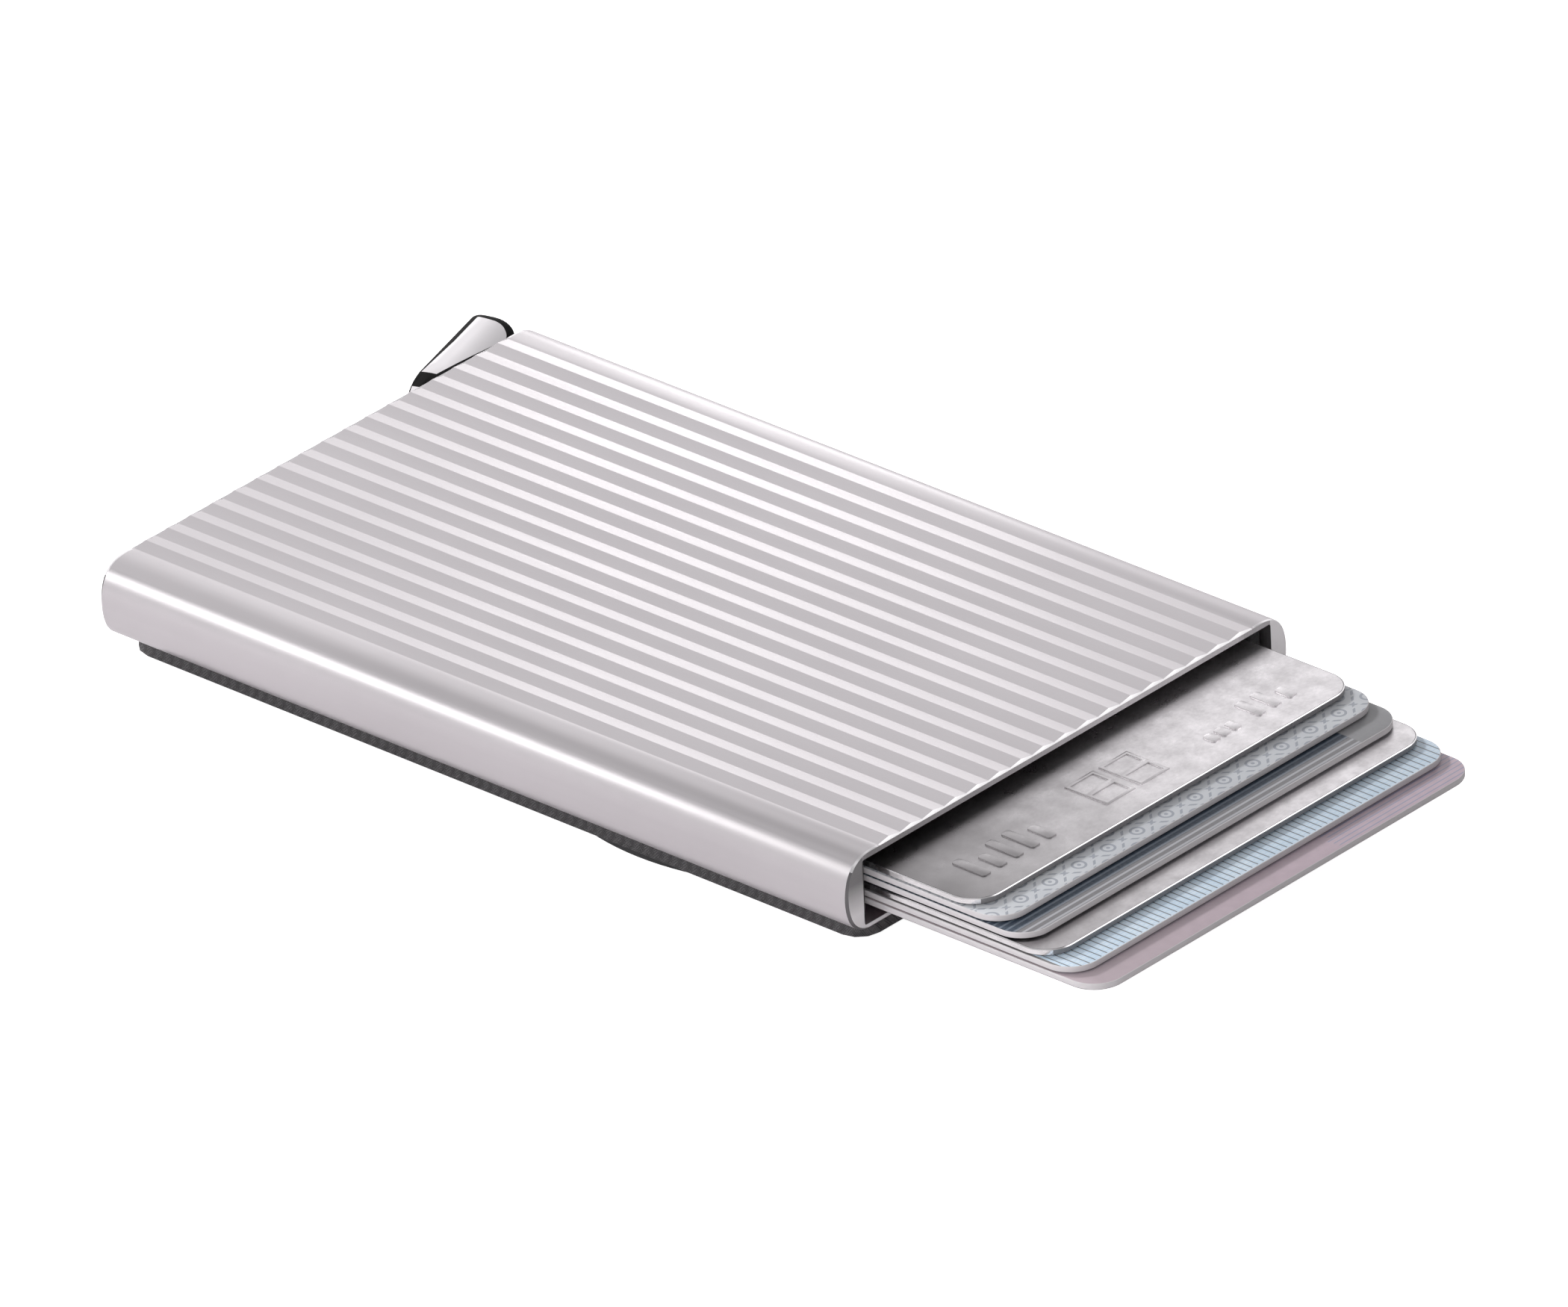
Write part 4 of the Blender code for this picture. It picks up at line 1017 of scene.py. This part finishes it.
def buildPlate():
    low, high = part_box("slide_plate")
    inset = Vector((plate["rimDepth"], plate["rimDepth"], 0))
    bm = roundedPlate(low + inset, high - inset, plate["cornerRadius"] - plate["rimDepth"], 3)
    # even cells round the rim, in two rows
    for axis in (0, 1):
        edges = [e for e in bm.edges if abs(e.verts[0].co[axis] - e.verts[1].co[axis]) > 20 * mm]
        span = max(abs(e.verts[0].co[axis] - e.verts[1].co[axis]) for e in edges)
        bmesh.ops.subdivide_edges(bm, edges=edges, cuts=round(span / plate["cellSize"]) - 1,
                                  use_grid_fill=True)
    splitZ = low.z + (high.z - low.z) * (1 - plate["rimSplit"])
    bmesh.ops.bisect_plane(bm, geom=bm.verts[:] + bm.edges[:] + bm.faces[:], plane_co=(0, 0, splitZ),
                           plane_no=(0, 0, 1))
    edges = [e for e in sharpEdges(bm, 60) if abs(e.verts[0].co.z - e.verts[1].co.z) < 0.01 * mm]
    roundEdges(bm, edges, plate["edge"], 1)
    sides = [f for f in bm.faces if abs(f.normal.z) < 0.1 and f.calc_area() > 0.3 * mm * mm]
    bmesh.ops.poke(bm, faces=sides, offset=plate["rimDepth"])
    base = [f for f in bm.faces if f.normal.z < -0.99 and f.calc_area() > 1000 * mm * mm]
    bmesh.ops.inset_region(bm, faces=base, thickness=plate["pocketMargin"], depth=0.0, use_even_offset=True)
    pullFace(bm, base, (0, 0, plate["pocketDepth"]))
    bmesh.ops.delete(bm, geom=base, context="FACES_ONLY")
    bm = carve(bm, [channelCutter()])
    addPiece("slidePlateBody", bm, "slide", [grip], ["slide_plate"])


def buildGripPanel():
    # low pyramids in even rows over the whole underside
    low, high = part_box("slide_plate")
    margin = plate["pocketMargin"] + plate["panelGap"]
    sizeX, sizeY = high.x - low.x - 2 * margin, high.y - low.y - 2 * margin
    countX, countY = round(sizeX / plate["cellSize"]), round(sizeY / plate["cellSize"])
    bm = bmesh.new()
    place = Matrix.Translation(((low.x + high.x) / 2, 0, low.z + plate["rimDepth"]))
    bmesh.ops.create_grid(bm, x_segments=countX, y_segments=countY, size=0.5,
                          matrix=place @ Matrix.Diagonal((sizeX, sizeY, 1, 1)))
    corners = [f for f in bm.faces
               if abs(f.calc_center_median().x - place.translation.x) > sizeX / 2 - plate["cellSize"]
               and abs(f.calc_center_median().y) > sizeY / 2 - plate["cellSize"]]
    bmesh.ops.delete(bm, geom=corners, context="FACES")
    cells = bm.faces[:]
    pullFace(bm, cells, (0, 0, plate["pocketDepth"] - plate["rimDepth"] - plate["panelGap"]))
    tidyMesh(bm)
    cells = [f for f in bm.faces if f.normal.z < -0.9]
    bmesh.ops.poke(bm, faces=cells, offset=plate["rimDepth"] - 0.02 * mm)
    addPiece("gripPanel", bm, "slide", [grip])


pad = dict(edge=0.2 * mm, skin=0.3 * mm, ringWidth=4.9 * mm, ringGap=0.1 * mm, foot=1.2 * mm)


def buildPad():
    # turned pad with a softened rim and a hollow for the magnet
    low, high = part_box("magnet_pad")
    ringLow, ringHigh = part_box("magnet_ring")
    middle = (low + high) / 2
    edge, skin = pad["edge"], pad["skin"]
    radius, ringOuter = (high.x - low.x) / 2, (ringHigh.x - ringLow.x) / 2 + pad["ringGap"]
    ringInner = ringOuter - pad["ringWidth"]
    bm, last = startLine((middle.x, 0, high.z))
    for r, z in ((ringInner, high.z), (ringInner, skin), (ringOuter, skin), (ringOuter, high.z),
                 (radius, high.z), (radius, edge)):
        last = lineTo(bm, last, (middle.x + r, 0, z))
    last = arcTo(bm, last, (middle.x + radius - edge, 0, edge), 90, 5, (0, 1, 0))
    last = lineTo(bm, last, (middle.x + radius - pad["foot"], 0, 0))
    last = lineTo(bm, last, (middle.x, 0, 0))
    bmesh.ops.spin(bm, geom=bm.verts[:] + bm.edges[:], cent=middle, axis=(0, 0, 1), angle=2 * math.pi,
                   steps=128, use_merge=True)
    tidyMesh(bm)
    addPiece("roundPad", bm, "slide", [padPlastic], ["magnet_pad"])


buildPlate()
buildGripPanel()
buildPad()
print("slide plate and pad done")


# inner pieces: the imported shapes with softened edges

innerLooks = [
    ("endCap", "end_cap", "holder", blackPlastic, "black_plastic", 0.1 * mm),
    ("leverArm", "lever_arm", "lever", blackPlastic, "black_plastic", 0.06 * mm),
    ("railPlate", "rail_plate", "holder", blackPlastic, "black_plastic", 0.08 * mm),
    ("slideStop", "slide_stop", "slide", blackPlastic, "black_plastic", 0.1 * mm),
    ("nearLiner", "near_liner", "holder", felt, "felt", 0.3 * mm),
    ("farLiner", "far_liner", "holder", felt, "felt", 0.3 * mm),
    ("topPad", "top_pad", "holder", felt, "felt", 0.3 * mm),
    ("bottomPad", "bottom_pad", "holder", felt, "felt", 0.15 * mm),
]
for name, node, body, material, slot, edge in innerLooks:
    addPiece(name, copyNode(node, edge), body, [material], [node])

for node in ("pivot_pin", "friction_washer", "lever_rivet_1", "lever_rivet_2", "cap_screw_1", "cap_screw_2",
             "rail_rivet_1", "rail_rivet_2", "rail_rivet_3", "rail_rivet_4", "magnet_ring"):
    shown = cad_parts[node]
    shown.data.materials.clear()
    shown.data.materials.append(plating if node == "magnet_ring" else steel)
print("inner pieces done")
